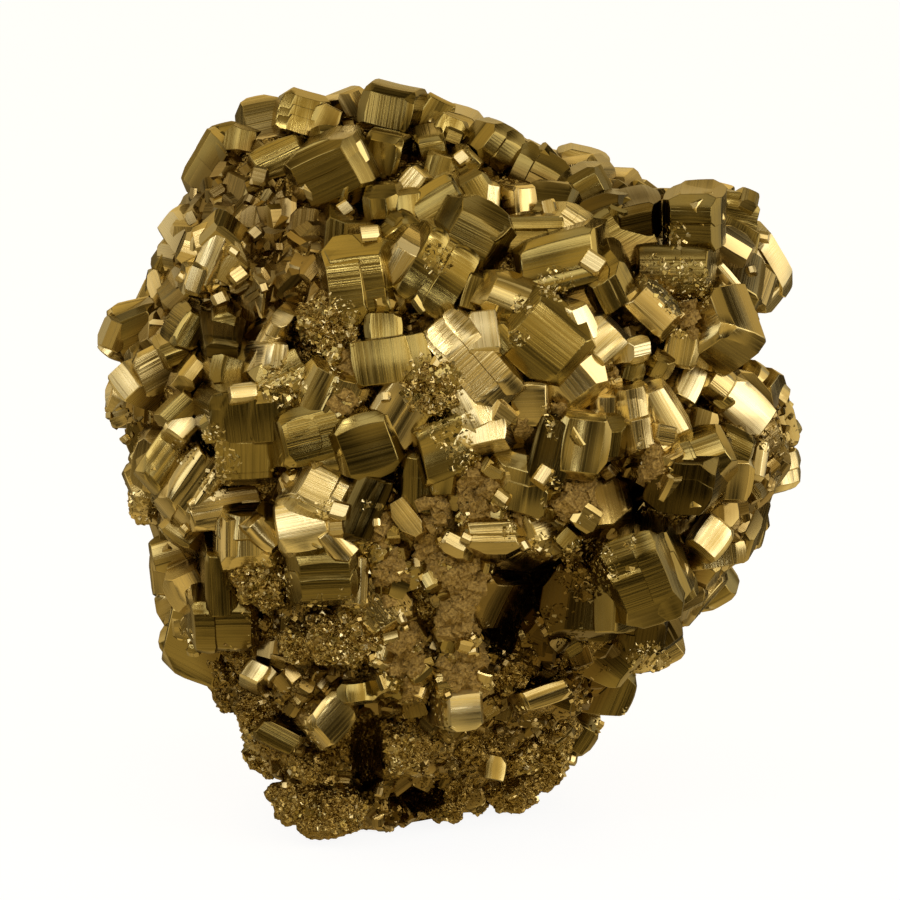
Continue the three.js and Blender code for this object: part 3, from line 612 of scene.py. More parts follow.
# Sizes in the granular surface, in mm, with roughness of grains and of powder. The real grains are
# finer, but too fine to show in a render.
GRAIN_WIDTH = 0.34
CRUMB_WIDTH = 0.35
CRUMB_HEIGHT = 0.26
CRUMB_PATTERN = (0.25, 0.75)
POWDER_PATCH = 2.2
POWDER_EDGE = (0.62, 0.85)
GRAIN_ROUGHNESS = (0.24, 0.9)

# Settings that several nodes share.
BLEND = {"data_type": "RGBA"}
MULTIPLY = {"data_type": "RGBA", "blend_type": "MULTIPLY"}
SMOOTH_STEP = {"interpolation_type": "SMOOTHSTEP"}


def number_series(seed):
    """A repeatable number series, 0 to 1: the same one that the solid's crystals come from."""
    state = seed
    while True:
        state = (state * SERIES_FACTOR + SERIES_STEP) % SERIES_LENGTH
        yield state / SERIES_LENGTH


def drawer(seed):
    series = number_series(seed)
    return lambda low, high: low + (high - low) * next(series)


def mix(a, b, share):
    return a + (b - a) * share


def direction_at(turn, rise):
    """The direction that many degrees to the right of straight forward, and up."""
    t, r = math.radians(turn), math.radians(rise)
    return Vector((math.sin(t) * math.cos(r), -math.cos(t) * math.cos(r), math.sin(r)))


def section_at(z):
    """Middle x and y, half sizes and slant of the mass at a height."""
    i = 1
    while i < len(SECTIONS) - 1 and SECTIONS[i][0] < z:
        i += 1
    below, above = SECTIONS[i - 1], SECTIONS[i]
    share = min(1, max(0, (z - below[0]) / (above[0] - below[0])))
    _, left, right, front, back, slant = (mix(a, b, share) for a, b in zip(below, above))
    return (left + right) / 2, (front + back) / 2, (right - left) / 2, (back - front) / 2, slant


def skin_point(angle, z):
    """A point of the mass's skin: angle 0 is on the right, a quarter turn is at the back."""
    mx, my, hx, hy, slant = section_at(z)
    c, d = math.cos(angle), math.sin(angle)
    x = hx * math.copysign(abs(c) ** (2 / SQUARENESS), c)
    y = hy * math.copysign(abs(d) ** (2 / SQUARENESS), d)
    return Vector((mx + x, my + y + slant * x, z))


def skin_normal(angle, z):
    along = skin_point(angle + NEARBY_ANGLE, z) - skin_point(angle - NEARBY_ANGLE, z)
    up = skin_point(angle, z + NEARBY_HEIGHT) - skin_point(angle, z - NEARBY_HEIGHT)
    return along.cross(up).normalized()


def front_at(x, z):
    """How far forward the mass reaches at a place on its front."""
    mx, my, hx, hy, slant = section_at(z)
    offset = min(1, max(-1, (x - mx) / hx))
    return my - hy * (1 - abs(offset) ** SQUARENESS) ** (1 / SQUARENESS) + slant * offset * hx


def above_skin(points):
    """How far points are outside the mass's skin, in mm; negative inside."""
    columns = np.array(SECTIONS).T
    left, right, front, back, slant = (np.interp(points[:, 2], columns[0], c) for c in columns[1:])
    x = points[:, 0] - (left + right) / 2
    y = points[:, 1] - (front + back) / 2 - slant * x
    share = np.abs(2 * x / (right - left)) ** SQUARENESS + np.abs(2 * y / (back - front)) ** SQUARENESS
    share = np.maximum(share, LEAST_SHARE) ** (1 / SQUARENESS)
    sideways = np.hypot(x, y) * (1 - 1 / share)
    return np.maximum(sideways, points[:, 2] - SECTIONS[-1][0])


FORWARD = Vector((0, math.cos(VIEW_TILT), -math.sin(VIEW_TILT)))
UPWARD = Vector((0, math.sin(VIEW_TILT), math.cos(VIEW_TILT)))
RIGHTWARD = Vector((1, 0, 0))
AIM = RIGHTWARD * VIEW_MIDDLE[0] + UPWARD * VIEW_MIDDLE[1]
EYE = AIM - FORWARD * VIEW_DISTANCE


def point_seen(right, up, out):
    """The point that shows at (right, up) and stands out of the mass's front by that much."""
    sight = RIGHTWARD * right + UPWARD * up - EYE
    y = 0
    for _ in range(SIGHT_STEPS):
        point = EYE + sight * ((y - EYE.y) / sight.y)
        y = front_at(point.x, point.z) - out
    return point


def place_seen(point):
    """Where a point shows: right and up on the picture plane."""
    offset = point - EYE
    scale = VIEW_DISTANCE / offset.dot(FORWARD)
    return VIEW_MIDDLE[0] + offset.x * scale, VIEW_MIDDLE[1] + offset.dot(UPWARD) * scale


def place_share(right, up, places):
    """1 in the middle of one of the places, falling to 0 at its rim."""
    nearest = min(((right - r) / w) ** 2 + ((up - u) / h) ** 2 for r, u, w, h in places)
    return max(0, 1 - nearest)


def powder_share(point):
    """How much powder lies at a point of the mass."""
    return place_share(*place_seen(point), POWDER_PLACES) if point.y < FRONT_REACH else 0


def near_any(right, up, places, within):
    return any(math.hypot(right - r, up - u) < within for r, u in places)


def in_hollow(right, up):
    return any(math.hypot((right - r) / w, (up - u) / h) < HOLLOW_CORE for r, u, w, h, _ in HOLLOWS)


def carved(point):
    """The point, moved inwards where a hollow of the front is."""
    if point.y > FRONT_REACH:
        return point
    right, up = place_seen(point)
    for middle, height, half_width, half_height, depth in HOLLOWS:
        wide, high = half_width * HOLLOW_GROWN, half_height * HOLLOW_GROWN
        away = ((right - middle) / wide) ** 2 + ((up - height) / high) ** 2
        if away < 1:
            return point + Vector((0, depth * math.sqrt(1 - away), 0))
    return point


# Each crystal starts as a box: its middle, its three directions as the columns of a matrix, and its
# three sizes. The main face looks along the third direction, with its striations along the first.

def crystal_box(face, normal, grain, sizes):
    turn = Matrix((grain, normal.cross(grain), normal)).transposed()
    return {"middle": face - normal * (sizes[2] / 2), "turn": turn, "sizes": sizes}


def listed_box(row, grown=GROWN_INTO):
    right, up, long, wide, turn, tilt, slope, out = row
    normal = direction_at(turn, tilt)
    t, s = math.radians(turn), math.radians(slope)
    level = Vector((math.cos(t), math.sin(t), 0))
    grain = level * math.cos(s) + normal.cross(level) * math.sin(s)
    deep = max(math.sqrt(long * wide), out + ROOT_DEPTH)
    sizes = (long * grown, wide * grown, deep * grown)
    return crystal_box(point_seen(right, up, out), normal, grain, sizes)


def near_outline(row):
    right, up = row[:2]
    on_corner = right > OUTLINE_CORNER[0] and up > OUTLINE_CORNER[1]
    return up > OUTLINE_TOP or right > OUTLINE_RIGHT or right < OUTLINE_LEFT or on_corner


def front_box(row):
    margin = EDGE_MARGIN if near_outline(row) else FACE_MARGIN
    return listed_box(row, 1 + margin / math.sqrt(row[2] * row[3]))


def loose_box(skin, outward, size, out, between, leaning=LOOSE_LEAN):
    """A crystal whose tip stands out of the skin by that much, leaning any way."""
    long = size * between(*LOOSE_LONG)
    wide = size * between(*LOOSE_WIDE)
    lean = Vector([between(-1, 1) for _ in range(3)]) * leaning
    spin = between(0, math.pi)
    normal = (outward + lean).normalized()
    level = Vector((0, 0, 1)).cross(normal).normalized()
    grain = Matrix.Rotation(spin, 3, normal) @ level
    edges = (grain, normal.cross(grain), normal)
    sizes = (long, wide, size)
    reach = sum(s / 2 * abs(e.dot(outward)) for s, e in zip(sizes, edges))
    face = skin + outward * (out - reach) + normal * (size / 2)
    return crystal_box(face, normal, grain, sizes)


def with_steps(boxes):
    """The boxes, and on the larger ones their growth steps, which follow their crystal's own draws."""
    rng = np.random.default_rng(STEP_SEED)
    made = []
    for like, box in enumerate(boxes):
        box["like"] = like
        made.append(box)
        long, wide, deep = box["sizes"]
        if long * wide < STEPPED_AREA:
            continue
        for k in range(rng.integers(0, MOST_STEPS + 1)):
            share = np.ones(2)
            share[rng.integers(2)] = rng.uniform(*STEP_SHARE)
            proud = rng.uniform(*STEP_PROUD) * (k + 1)
            slide = [rng.choice((-1, 1)) * (1 - s) / 2 * side for s, side in zip(share, (long, wide))]
            middle = box["middle"] + box["turn"] @ Vector((*slide, proud))
            made.append({**box, "middle": middle, "sizes": (long * share[0], wide * share[1], deep)})
    return made


def round_boxes():
    """Crystals over the sides, the top and the back."""
    between = drawer(ROUND_SEED)
    made = []
    for row, level in enumerate(ROUND_LEVELS):
        _, _, hx, hy, _ = section_at(level)
        count = math.floor(math.pi * (hx + hy) / ROUND_SPACING + 0.5)
        for i in range(count):
            stray = between(-ROUND_STRAY_SHARE, ROUND_STRAY_SHARE)
            angle = 2 * math.pi * (i + 0.5 * (row % 2) + stray) / count
            if math.sin(angle) < ROUND_FROM_SINE:
                continue
            z = level + between(-ROUND_STRAY, ROUND_STRAY)
            share = ROUND_TOP_SHARE if z > ROUND_TOP else 1
            size = share * between(*ROUND_SIZES)
            out = share * between(*ROUND_OUT)
            made.append(loose_box(skin_point(angle, z), skin_normal(angle, z), size, out, between))
    return made


def fill_boxes():
    """Crystals that fill the front between the listed ones."""
    between = drawer(FILL_SEED)
    made = []
    lowest, highest = FILL_HEIGHTS
    row = lowest
    while row < highest:
        mx, _, hx, _, _ = section_at(row)
        place = lowest - hx
        while place < hx:
            right = mx + place + between(-FILL_STRAY, FILL_STRAY)
            up = row + between(-FILL_STRAY, FILL_STRAY)
            place += FILL_SPACING
            if any(math.hypot(r[0] - right, r[1] - up) < FILL_CLEAR * (r[2] + r[3]) for r in FRONT_CRYSTALS):
                continue
            outward = Vector((FILL_TURN * (right - mx), -1, 0)).normalized()
            size, out = between(*FILL_SIZES), between(*FILL_OUT)
            made.append(loose_box(point_seen(right, up, 0), outward, size, out, between))
        row += FILL_SPACING
    return made


def mass_shape(rng):
    top = SECTIONS[-1][0]
    bm = bmesh.new()
    bmesh.ops.create_grid(bm, x_segments=MASS_AROUND, y_segments=MASS_UP, size=0.5)
    for v in bm.verts:
        angle = 2 * math.pi * (v.co.x + 0.5)
        t = v.co.y + 0.5
        z = top * min(1, max(0, (t - MASS_CAP_SHARE) / (1 - 2 * MASS_CAP_SHARE)))
        rim_share = min(1, t / MASS_CAP_SHARE, (1 - t) / MASS_CAP_SHARE)
        mx, my, _, _, _ = section_at(z)
        point = Vector((mx, my, z)).lerp(skin_point(angle, z), rim_share)
        if rim_share > RIM_ROUGH:
            lump = sum(size * noise.noise(point / scale) for scale, size in MASS_LUMPS)
            outward = skin_normal(angle, z)
            if point.y < FRONT_REACH:
                covered = min(1, POWDER_SPREAD * powder_share(point))
                crust = sum(size * noise.noise(point / scale) for scale, size in POWDER_LUMPS)
                lump += covered * (POWDER_RISE + crust)
            point += outward * (lump - MASS_INWARD)
            if 0 < z < top and abs(v.co.x) < SEAM:
                point += Vector(rng.uniform(-FACET_STRAY, FACET_STRAY, 3))
        v.co = carved(point)
        v.co.z = max(0, v.co.z)
    bmesh.ops.remove_doubles(bm, verts=bm.verts, dist=MERGED_WITHIN)
    bmesh.ops.recalc_face_normals(bm, faces=bm.faces)
    return bm


def cut_away(bm, normal, through):
    geom = bm.verts[:] + bm.edges[:] + bm.faces[:]
    made = bmesh.ops.bisect_plane(bm, geom=geom, plane_co=through, plane_no=normal, clear_outer=True)
    rim = [e for e in made["geom_cut"] if isinstance(e, bmesh.types.BMEdge)]
    if rim:
        bmesh.ops.holes_fill(bm, edges=rim, sides=0)


def sliced(bm, axis, share):
    normal = Vector((0, 0, 0))
    normal[axis] = 1
    geom = bm.verts[:] + bm.edges[:] + bm.faces[:]
    bmesh.ops.bisect_plane(bm, geom=geom, plane_co=normal * (share - 0.5), plane_no=normal)


def crystal_template(slices, rng, leaning, corners, edge):
    """One crystal: its points, from -1 to 1, and for each face its axis and whether it is striated."""
    bm = bmesh.new()
    bmesh.ops.create_cube(bm, size=1)
    usual = rng.uniform(*leaning) if leaning else 0
    for axis in range(3 if leaning else 0):
        across = (axis + 2) % 3
        for side in (-1, 1):
            for lean in (-1, 1):
                share = usual * rng.uniform(*LEAN_STRAY)
                normal, through = Vector((0, 0, 0)), Vector((0, 0, 0))
                normal[axis] = side * math.cos(LEAN)
                normal[across] = lean * math.sin(LEAN)
                through[axis] = side / 2
                through[across] = lean / 2 * (1 - share)
                cut_away(bm, normal, through)
    for corner in ((x, y, z) for x in (-1, 1) for y in (-1, 1) for z in (-1, 1)):
        normal = Vector(corner).normalized()
        cut_away(bm, normal, normal * rng.uniform(*corners))
    if edge:
        bmesh.ops.bevel(bm, geom=bm.edges[:], offset=edge, segments=1, affect="EDGES", profile=0.5,
                        material=-1)
    for axis in range(3):
        for k in range(slices):
            sliced(bm, axis, (k + 1 + rng.uniform(-SLICE_STRAY, SLICE_STRAY)) / (slices + 1))
    bm.normal_update()
    bm.verts.index_update()
    shape = {
        "points": np.array([v.co[:] for v in bm.verts]) * 2,
        "corners": np.array([v.index for f in bm.faces for v in f.verts]),
        "counts": np.array([len(f.verts) for f in bm.faces]),
        "axes": np.array([int(np.argmax(np.abs(f.normal))) for f in bm.faces]),
        "lined": np.array([max(abs(c) for c in f.normal) > LINED_FACING for f in bm.faces]),
    }
    bm.free()
    return shape


def crystal_templates(kind):
    count, seed, slices, leaning, corners, edge = TEMPLATES[kind]
    rng = np.random.default_rng(seed)
    return [crystal_template(slices, rng, leaning, corners, edge) for _ in range(count)]


def grown(shape, size, flare, rng, bulge, wobble):
    """The template's points at the crystal's size, with its faces bulged, tapered, skewed and rippled."""
    unit = shape["points"]
    bend = rng.uniform(*bulge, 3)
    local = unit.copy()
    for axis in range(3):
        local[:, axis] *= 1 - bend[axis] * unit[:, (axis + 2) % 3] ** 2
    taper = rng.uniform(-TAPER, TAPER, 2)
    local[:, :2] *= 1 + taper * local[:, 2:] + flare * (1 - local[:, 2:]) / 2
    local = local @ (np.eye(3) + rng.uniform(-SKEW, SKEW, (3, 3)))
    local *= size / 2
    phase = rng.uniform(0, RIPPLE_PHASES, 3)
    local += wobble * size.min() * np.sin(local[:, [1, 2, 0]] * RIPPLES / size.min() + phase)
    return local


def striation_places(shape, local, rng):
    """Where each corner of each face lies on the pattern: across and along the striations, in mm."""
    axis = np.repeat(shape["axes"], shape["counts"])
    flat = local[shape["corners"]]
    rows = np.arange(len(flat))
    across = flat[rows, (axis + 2) % 3] + PATTERN_APART * axis
    along = flat[rows, (axis + 1) % 3]
    return np.stack((across, along), axis=1) + rng.uniform(0, PATTERN_STRAY, 2)


def set_values(mesh, label, domain, values):
    data = mesh.attributes.new(label, "FLOAT", domain).data
    data.foreach_set("value", np.array(values, np.float32))


def joined_crystals(name, boxes, templates, rng, bulge, wobble):
    """One mesh of all the boxes, each made a crystal from one of the templates."""
    points, corners, counts, places, tones, lines = [], [], [], [], [], []
    start = 0
    for box in boxes:
        if box["middle"].z < 0:
            continue
        own = np.random.default_rng(box["like"]) if "like" in box else rng
        shape = templates[own.integers(len(templates))]
        local = grown(shape, np.array(box["sizes"]), box.get("flare", ROOT_FLARE), own, bulge, wobble)
        points.append(local @ np.array(box["turn"]).T + np.array(box["middle"]))
        corners.append(shape["corners"] + start)
        counts.append(shape["counts"])
        places.append(striation_places(shape, local, own))
        tones.append(np.full(len(shape["counts"]), box.get("tone", own.random())))
        strength = box.get("lined", own.uniform(*LINED_RANGE) ** LINED_RARITY)
        lines.append(strength * np.where(shape["lined"], 1, LEANING_LINED))
        start += len(local)
    points, corners, counts, places, tones, lines = (
        np.concatenate(parts) for parts in (points, corners, counts, places, tones, lines))
    points[:, 2] = np.maximum(points[:, 2], 0)
    mesh = bpy.data.meshes.new(name)
    mesh.vertices.add(start)
    mesh.vertices.foreach_set("co", (points * MM).astype(np.float32).ravel())
    mesh.loops.add(len(corners))
    mesh.loops.foreach_set("vertex_index", corners.astype(np.int32))
    mesh.polygons.add(len(counts))
    mesh.polygons.foreach_set("loop_start", (np.cumsum(counts) - counts).astype(np.int32))
    mesh.update(calc_edges=True)
    mesh.uv_layers.new(name="striations").data.foreach_set("uv", places.astype(np.float32).ravel())
    set_values(mesh, "tone", "FACE", tones)
    set_values(mesh, "lined", "FACE", lines)
    set_values(mesh, "above_skin", "POINT", above_skin(points))
    mesh.validate()
    mesh.shade_smooth()
    mesh.set_sharp_from_angle(angle=math.radians(SHARP_DEGREES))
    return mesh


def piece_of(mesh, material):
    piece = bpy.data.objects.new(mesh.name, mesh)
    bpy.context.scene.collection.objects.link(piece)
    mesh.materials.append(material)
    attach(piece, "root")
    return piece


def is_granular(right, up):
    if near_any(right, up, STANDING_CRYSTALS, STANDING_WITHIN):
        return False
    return place_share(right, up, GRANULAR_PLACES) > 0


def lumps(name, boxes, rng):
    """Rough rounded lumps in place of boxes, with facets as small as grains."""
    bm = bmesh.new()
    for box in boxes:
        before = len(bm.verts)
        turned = box["turn"].to_4x4()
        turned.translation = box["middle"]
        fineness = LUMP_FINENESS if box["middle"].y < FRONT_REACH else LUMP_FINENESS - 1
        bmesh.ops.create_icosphere(bm, subdivisions=fineness, radius=0.5)
        bm.verts.ensure_lookup_table()
        size = Vector(box["sizes"])
        for v in bm.verts[before:]:
            squared = Vector([math.copysign(abs(c * 2) ** LUMP_SQUARENESS, c) / 2 for c in v.co])
            place = Vector([a * b for a, b in zip(squared, size)])
            rough = sum(depth * noise.noise((place + box["middle"]) / scale) for scale, depth in LUMP_DEPTHS)
            stray = Vector(rng.uniform(-GRAIN_STRAY, GRAIN_STRAY, 3))
            v.co = carved(turned @ (place * (1 + rough) + stray))
            v.co.z = max(0, v.co.z)
    bmesh.ops.scale(bm, vec=(MM, MM, MM), verts=bm.verts)
    mesh = bpy.data.meshes.new(name)
    bm.to_mesh(mesh)
    bm.free()
    return mesh


class Surface:
    """What a ray meets: the mass, and every crystal made so far."""

    def __init__(self, mass):
        self.count = len(mass.faces)
        self.joined = mass.copy()

    def grow(self, mesh):
        before = len(self.joined.verts)
        self.joined.from_mesh(mesh)
        self.joined.verts.ensure_lookup_table()
        bmesh.ops.scale(self.joined, vec=(1 / MM, 1 / MM, 1 / MM), verts=self.joined.verts[before:])
        self.tree = BVHTree.FromBMesh(self.joined)

    def met(self, start, direction):
        """Point, normal, and whether it is bare mass."""
        point, normal, index, _ = self.tree.ray_cast(start, direction)
        return point, normal, index is not None and index < self.count


def front_rays(spacing, between):
    left, right, low, high = FRONT_AREA
    for i in range(int((right - left) / spacing) + 1):
        for j in range(int((high - low) / spacing) + 1):
            u = left + (i + between(-FRONT_RAY_STRAY, FRONT_RAY_STRAY)) * spacing
            v = low + (j + between(-FRONT_RAY_STRAY, FRONT_RAY_STRAY)) * spacing
            yield EYE, (RIGHTWARD * u + UPWARD * v - EYE).normalized(), u, v


def round_rays(spacing, between):
    """Rays from all round, apart from those that the eye's rays take the place of. u is None."""
    top = SECTIONS[-1][0]
    for j in range(int(top / spacing)):
        z = (j + 0.5 + between(-ROUND_RAY_STRAY, ROUND_RAY_STRAY)) * spacing
        _, _, hx, hy, _ = section_at(z)
        count = max(3, int(math.pi * (hx + hy) / spacing))
        for i in range(count):
            angle = 2 * math.pi * (i + between(-ROUND_RAY_STRAY, ROUND_RAY_STRAY)) / count
            normal = skin_normal(angle, z)
            if -normal.dot(FORWARD) < ROUND_FACING_EYE:
                yield skin_point(angle, z) + normal * ROUND_RAY_START, -normal, None, z


def gap_boxes(surface, seed, spacing, round_spacing, sizes, out, lean, kept, bare):
    """Boxes where rays meet the surface. kept: in which places. bare: on the mass alone."""
    between = drawer(seed)
    made = []
    rays = list(front_rays(spacing, between))
    if round_spacing:
        rays += list(round_rays(round_spacing, between))
    for start, direction, u, v in rays:
        if not kept(u, v):
            continue
        point, normal, on_mass = surface.met(start, direction)
        if point is None or (bare and not on_mass):
            continue
        if normal.dot(direction) > 0:
            normal = -normal
        outward = (normal - direction * TOWARDS_RAY).normalized()
        size = between(*sizes)
        made.append(loose_box(point, outward, size, size * between(*out), between, leaning=lean))
    return made


def glint_boxes(surface):
    """The tiny cubes, each with a face that mirrors the first softbox straight at the eye."""
    between = drawer(GLINT_SEED)
    toward = direction_at(*SOFTBOXES[0][1:3])
    made = []
    for u, v, width in GLINTS:
        direction = (RIGHTWARD * u + UPWARD * v - EYE).normalized()
        point, _, _ = surface.met(EYE, direction)
        if point is None:
            continue
        stray = Vector([between(-1, 1) for _ in range(3)]) * GLINT_STRAY
        normal = (toward + stray - direction).normalized()
        level = Vector((0, 0, 1)).cross(normal).normalized()
        grain = Matrix.Rotation(between(0, math.pi), 3, normal) @ level
        sizes = (width * between(*GLINT_LONG), width, width * GLINT_DEEP)
        box = crystal_box(point + normal * width * GLINT_OUT, normal, grain, sizes)
        made.append({**box, "tone": GLINT_TONE, "lined": GLINT_LINED})
    return made


# Materials. The inputs of a Map Range node are given in order: the value, its range and the new range.

def linear(hex_code):
    """An sRGB hex colour as linear red, green, blue and alpha."""
    parts = [int(hex_code[i:i + 2], 16) / 255 for i in (1, 3, 5)]
    return tuple(p / 12.92 if p <= 0.04045 else ((p + 0.055) / 1.055) ** 2.4 for p in parts) + (1,)


def set_inputs(tree, node, inputs):
    """Sets a node's inputs, by name or in order, each to a value or to another node's output."""
    for name, value in inputs.items() if isinstance(inputs, dict) else enumerate(inputs):
        if isinstance(value, bpy.types.NodeSocket):
            tree.links.new(value, node.inputs[name])
        else:
            node.inputs[name].default_value = value


def add(tree, kind, settings=None, inputs=None, output=None):
    """Adds a shader node with its settings and inputs. Returns its named output, or else its first."""
    node = tree.nodes.new("ShaderNode" + kind)
    for name, value in (settings or {}).items():
        setattr(node, name, value)
    set_inputs(tree, node, inputs or {})
    return node.outputs[output] if output else next(o for o in node.outputs if o.enabled)


def new_material(name):
    material = bpy.data.materials.new(name)
    material.use_nodes = True
    tree = material.node_tree
    return material, tree, tree.nodes["Principled BSDF"]


def striated_pyrite():
    """Pyrite, as grown: a pale brass metal whose cube faces are lined along one direction.

    The lines are steps a few hundredths of a millimetre high, so a face shows fine bright and dark
    streaks and its highlight is drawn out across them. At its root it is painted a darker brown, as shade in
    the crevices."""
    material, tree, shader = new_material("striated_pyrite")
    place = add(tree, "UVMap", {"uv_map": "striations"})
    tone = add(tree, "Attribute", {"attribute_name": "tone"}, output="Fac")
    lined = add(tree, "Attribute", {"attribute_name": "lined"}, output="Fac")
    root = add(tree, "Attribute", {"attribute_name": "above_skin"}, output="Fac")
    bumps = {}
    heights = []
    for across, along, step in STRIATIONS:
        spread = add(tree, "Mapping", {"vector_type": "POINT"},
                     {"Vector": place, "Scale": (across, along, 1)})
        height = add(tree, "TexNoise", {"noise_dimensions": "2D"},
                     {"Vector": spread, "Scale": 1, "Detail": 1, "Roughness": 0.6})
        heights.append(height)
        bumps["Normal"] = add(tree, "Bump", {},
                              {"Height": height, "Distance": step * MM, "Strength": lined, **bumps})

    # The usual brass, towards a painted brown shade below a tone of 0 and towards a painted pale highlight
    # above 1.
    usual = add(tree, "Mix", BLEND, {"Factor": tone, "A": linear(BRASS[0]), "B": linear(BRASS[1])})
    darker = add(tree, "MapRange", {}, (tone, 0, -2))
    dark = add(tree, "Mix", BLEND, {"Factor": darker, "A": usual, "B": linear(PAINTED_SHADE_BRASS)})
    highlight_share = add(tree, "MapRange", {}, (tone, 1, 2))
    highlighted = add(tree, "Mix", BLEND, {"Factor": highlight_share, "A": dark, "B": linear(PAINTED_HIGHLIGHT_BRASS)})
    # Painted shade: the colour is darker along part of the striation pattern.
    streak_shade = add(tree, "MapRange", {}, (heights[1], *STREAK_PATTERN, *STREAK_SHADE))
    streaked = add(tree, "Mix", MULTIPLY, {"Factor": lined, "A": highlighted, "B": streak_shade})
    # Painted shade: the colour turns brown near the mass, in the crevices.
    root_shade = add(tree, "MapRange", SMOOTH_STEP, (root, 0, ROOT_SHADE_REACH, ROOT_SHADE_SHARE, 0))
    colour = add(tree, "Mix", BLEND, {"Factor": root_shade, "A": streaked, "B": linear(PAINTED_ROOT_SHADE)})

    # Faces with a painted highlight are a little rougher, so that they shine as a whole.
    coarse = add(tree, "Math", {"operation": "MULTIPLY_ADD"}, (highlight_share, HIGHLIGHT_ROUGHER, heights[1]))
    rough = add(tree, "MapRange", {}, (coarse, *FACE_PATTERN, *FACE_ROUGHNESS))
    set_inputs(tree, shader, {"Base Color": colour, "Roughness": rough, "Metallic": 1, **bumps})
    return material


def granular_pyrite():
    """Pyrite grown as grains under a millimetre, with powder in places.

    The grains face every way, so they are dark with a glitter of facets. The powder is dull and pale."""
    material, tree, shader = new_material("granular_pyrite")
    place = add(tree, "TexCoord", output="Object")
    powder = add(tree, "Attribute", {"attribute_name": "powder"}, output="Fac")
    cells = add(tree, "TexVoronoi", {"feature": "F1"},
                {"Vector": place, "Scale": 1 / (GRAIN_WIDTH * MM)})
    crumbs = add(tree, "TexNoise", {},
                 {"Vector": place, "Scale": 1 / (CRUMB_WIDTH * MM), "Detail": 2})
    crusty = add(tree, "Bump", {},
                 {"Height": crumbs, "Distance": CRUMB_HEIGHT * MM, "Strength": 1})
    turned = add(tree, "VectorMath", {"operation": "ADD"},
                 (cells.node.outputs["Color"], (-0.5, -0.5, -0.5)))
    leaning = add(tree, "VectorMath", {"operation": "ADD"}, (crusty, turned))
    normal = add(tree, "VectorMath", {"operation": "NORMALIZE"}, (leaning,))
    metal = add(tree, "Mix", BLEND,
                {"Factor": cells, "A": linear(GRAIN_BRASS[0]), "B": linear(GRAIN_BRASS[1])})

    # Powder covers the metal where the mesh says so, with a ragged edge.
    ragged = add(tree, "TexNoise", {},
                 {"Vector": place, "Scale": 1 / (POWDER_PATCH * MM), "Detail": 4})
    edge = add(tree, "Math", {"operation": "ADD"}, (powder, ragged))
    cover = add(tree, "MapRange", SMOOTH_STEP, (edge, *POWDER_EDGE))
    crumbly = add(tree, "MapRange", {}, (crumbs, *CRUMB_PATTERN))
    dust = add(tree, "Mix", BLEND,
               {"Factor": crumbly, "A": linear(POWDER_BROWN[0]), "B": linear(POWDER_BROWN[1])})
    colour = add(tree, "Mix", BLEND, {"Factor": cover, "A": metal, "B": dust})
    metallic = add(tree, "MapRange", {}, (cover, 0, 1, 1, 0))
    rough = add(tree, "MapRange", {}, (cover, 0, 1, *GRAIN_ROUGHNESS))
    set_inputs(tree, shader, {"Base Color": colour, "Metallic": metallic, "Roughness": rough,
                              "Normal": normal})
    return material


# The view, the floor and the light.

def camera_of_photograph():
    data = bpy.data.cameras.new("camera")
    data.lens = LENS
    data.sensor_width = LENS * PICTURE_WIDTH / VIEW_DISTANCE
    data.clip_start = NEAREST_SEEN * MM
    camera = bpy.data.objects.new("camera", data)
    bpy.context.scene.collection.objects.link(camera)
    camera.location = EYE * MM
    camera.rotation_euler = (math.pi / 2 - VIEW_TILT, 0, 0)
    bpy.context.scene.camera = camera


def softbox(name, turn, rise, distance, width, height, brightness):
    data = bpy.data.lights.new(name, "AREA")
    data.shape = "RECTANGLE"
    data.size, data.size_y = width, height
    data.energy = brightness * math.pi * width * height
    light = bpy.data.objects.new(name, data)
    bpy.context.scene.collection.objects.link(light)
    target = Vector(LIGHT_TARGET) * MM
    light.location = target + direction_at(turn, rise) * distance
    light.rotation_euler = (target - light.location).to_track_quat("-Z", "Y").to_euler()


def pale_floor():
    """A matt floor that glows a little, so that it stays pale under the object."""
    bpy.ops.mesh.primitive_plane_add(size=FLOOR_WIDTH, location=(0, 0, 0))
    floor = bpy.context.object
    floor.name = "floor"
    material, tree, shader = new_material("pale_floor")
    glow = {"Emission Color": WHITE, "Emission Strength": FLOOR_GLOW}
    set_inputs(tree, shader, {"Base Color": linear(FLOOR_COLOUR), "Roughness": 1, **glow})
    floor.data.materials.append(material)
    floor.visible_glossy = False
    floor.visible_diffuse = False


def studio_world():
    """White to the camera. To the object it is a warm, uneven light, as from a room round the table."""
    world = bpy.data.worlds.new("studio")
    bpy.context.scene.world = world
    world.use_nodes = True
    tree = world.node_tree
    seen = add(tree, "LightPath", output="Is Camera Ray")
    way = add(tree, "TexCoord", output="Generated")
    height = add(tree, "SeparateXYZ", {}, {"Vector": way}, "Z")
    level = add(tree, "MapRange", SMOOTH_STEP, (height, *ROOM_HEIGHTS, *ROOM_LEVELS))
    patches = add(tree, "TexNoise", {}, {"Vector": way, "Scale": ROOM_PATCHES, "Detail": 1})
    uneven = add(tree, "MapRange", {}, (patches, *ROOM_PATTERN, *ROOM_UNEVEN))
    filled = add(tree, "Math", {"operation": "MULTIPLY"}, (level, uneven))
    warm = add(tree, "Mix", MULTIPLY, {"Factor": 1.0, "A": ROOM_COLOUR, "B": filled})
    light = add(tree, "Mix", BLEND, {"Factor": seen, "A": warm, "B": WHITE})
    set_inputs(tree, tree.nodes["Background"], {"Color": light, "Strength": 1})


def studio():
    pale_floor()
    for box in SOFTBOXES:
        softbox(*box)
    studio_world()
    bpy.context.scene.view_settings.view_transform = "Standard"


# Where small things are kept. u and v: right and up on the front. Off the front, u is None and v a height.

def kept_all(u, v):
    return u is None or not in_hollow(u, v)


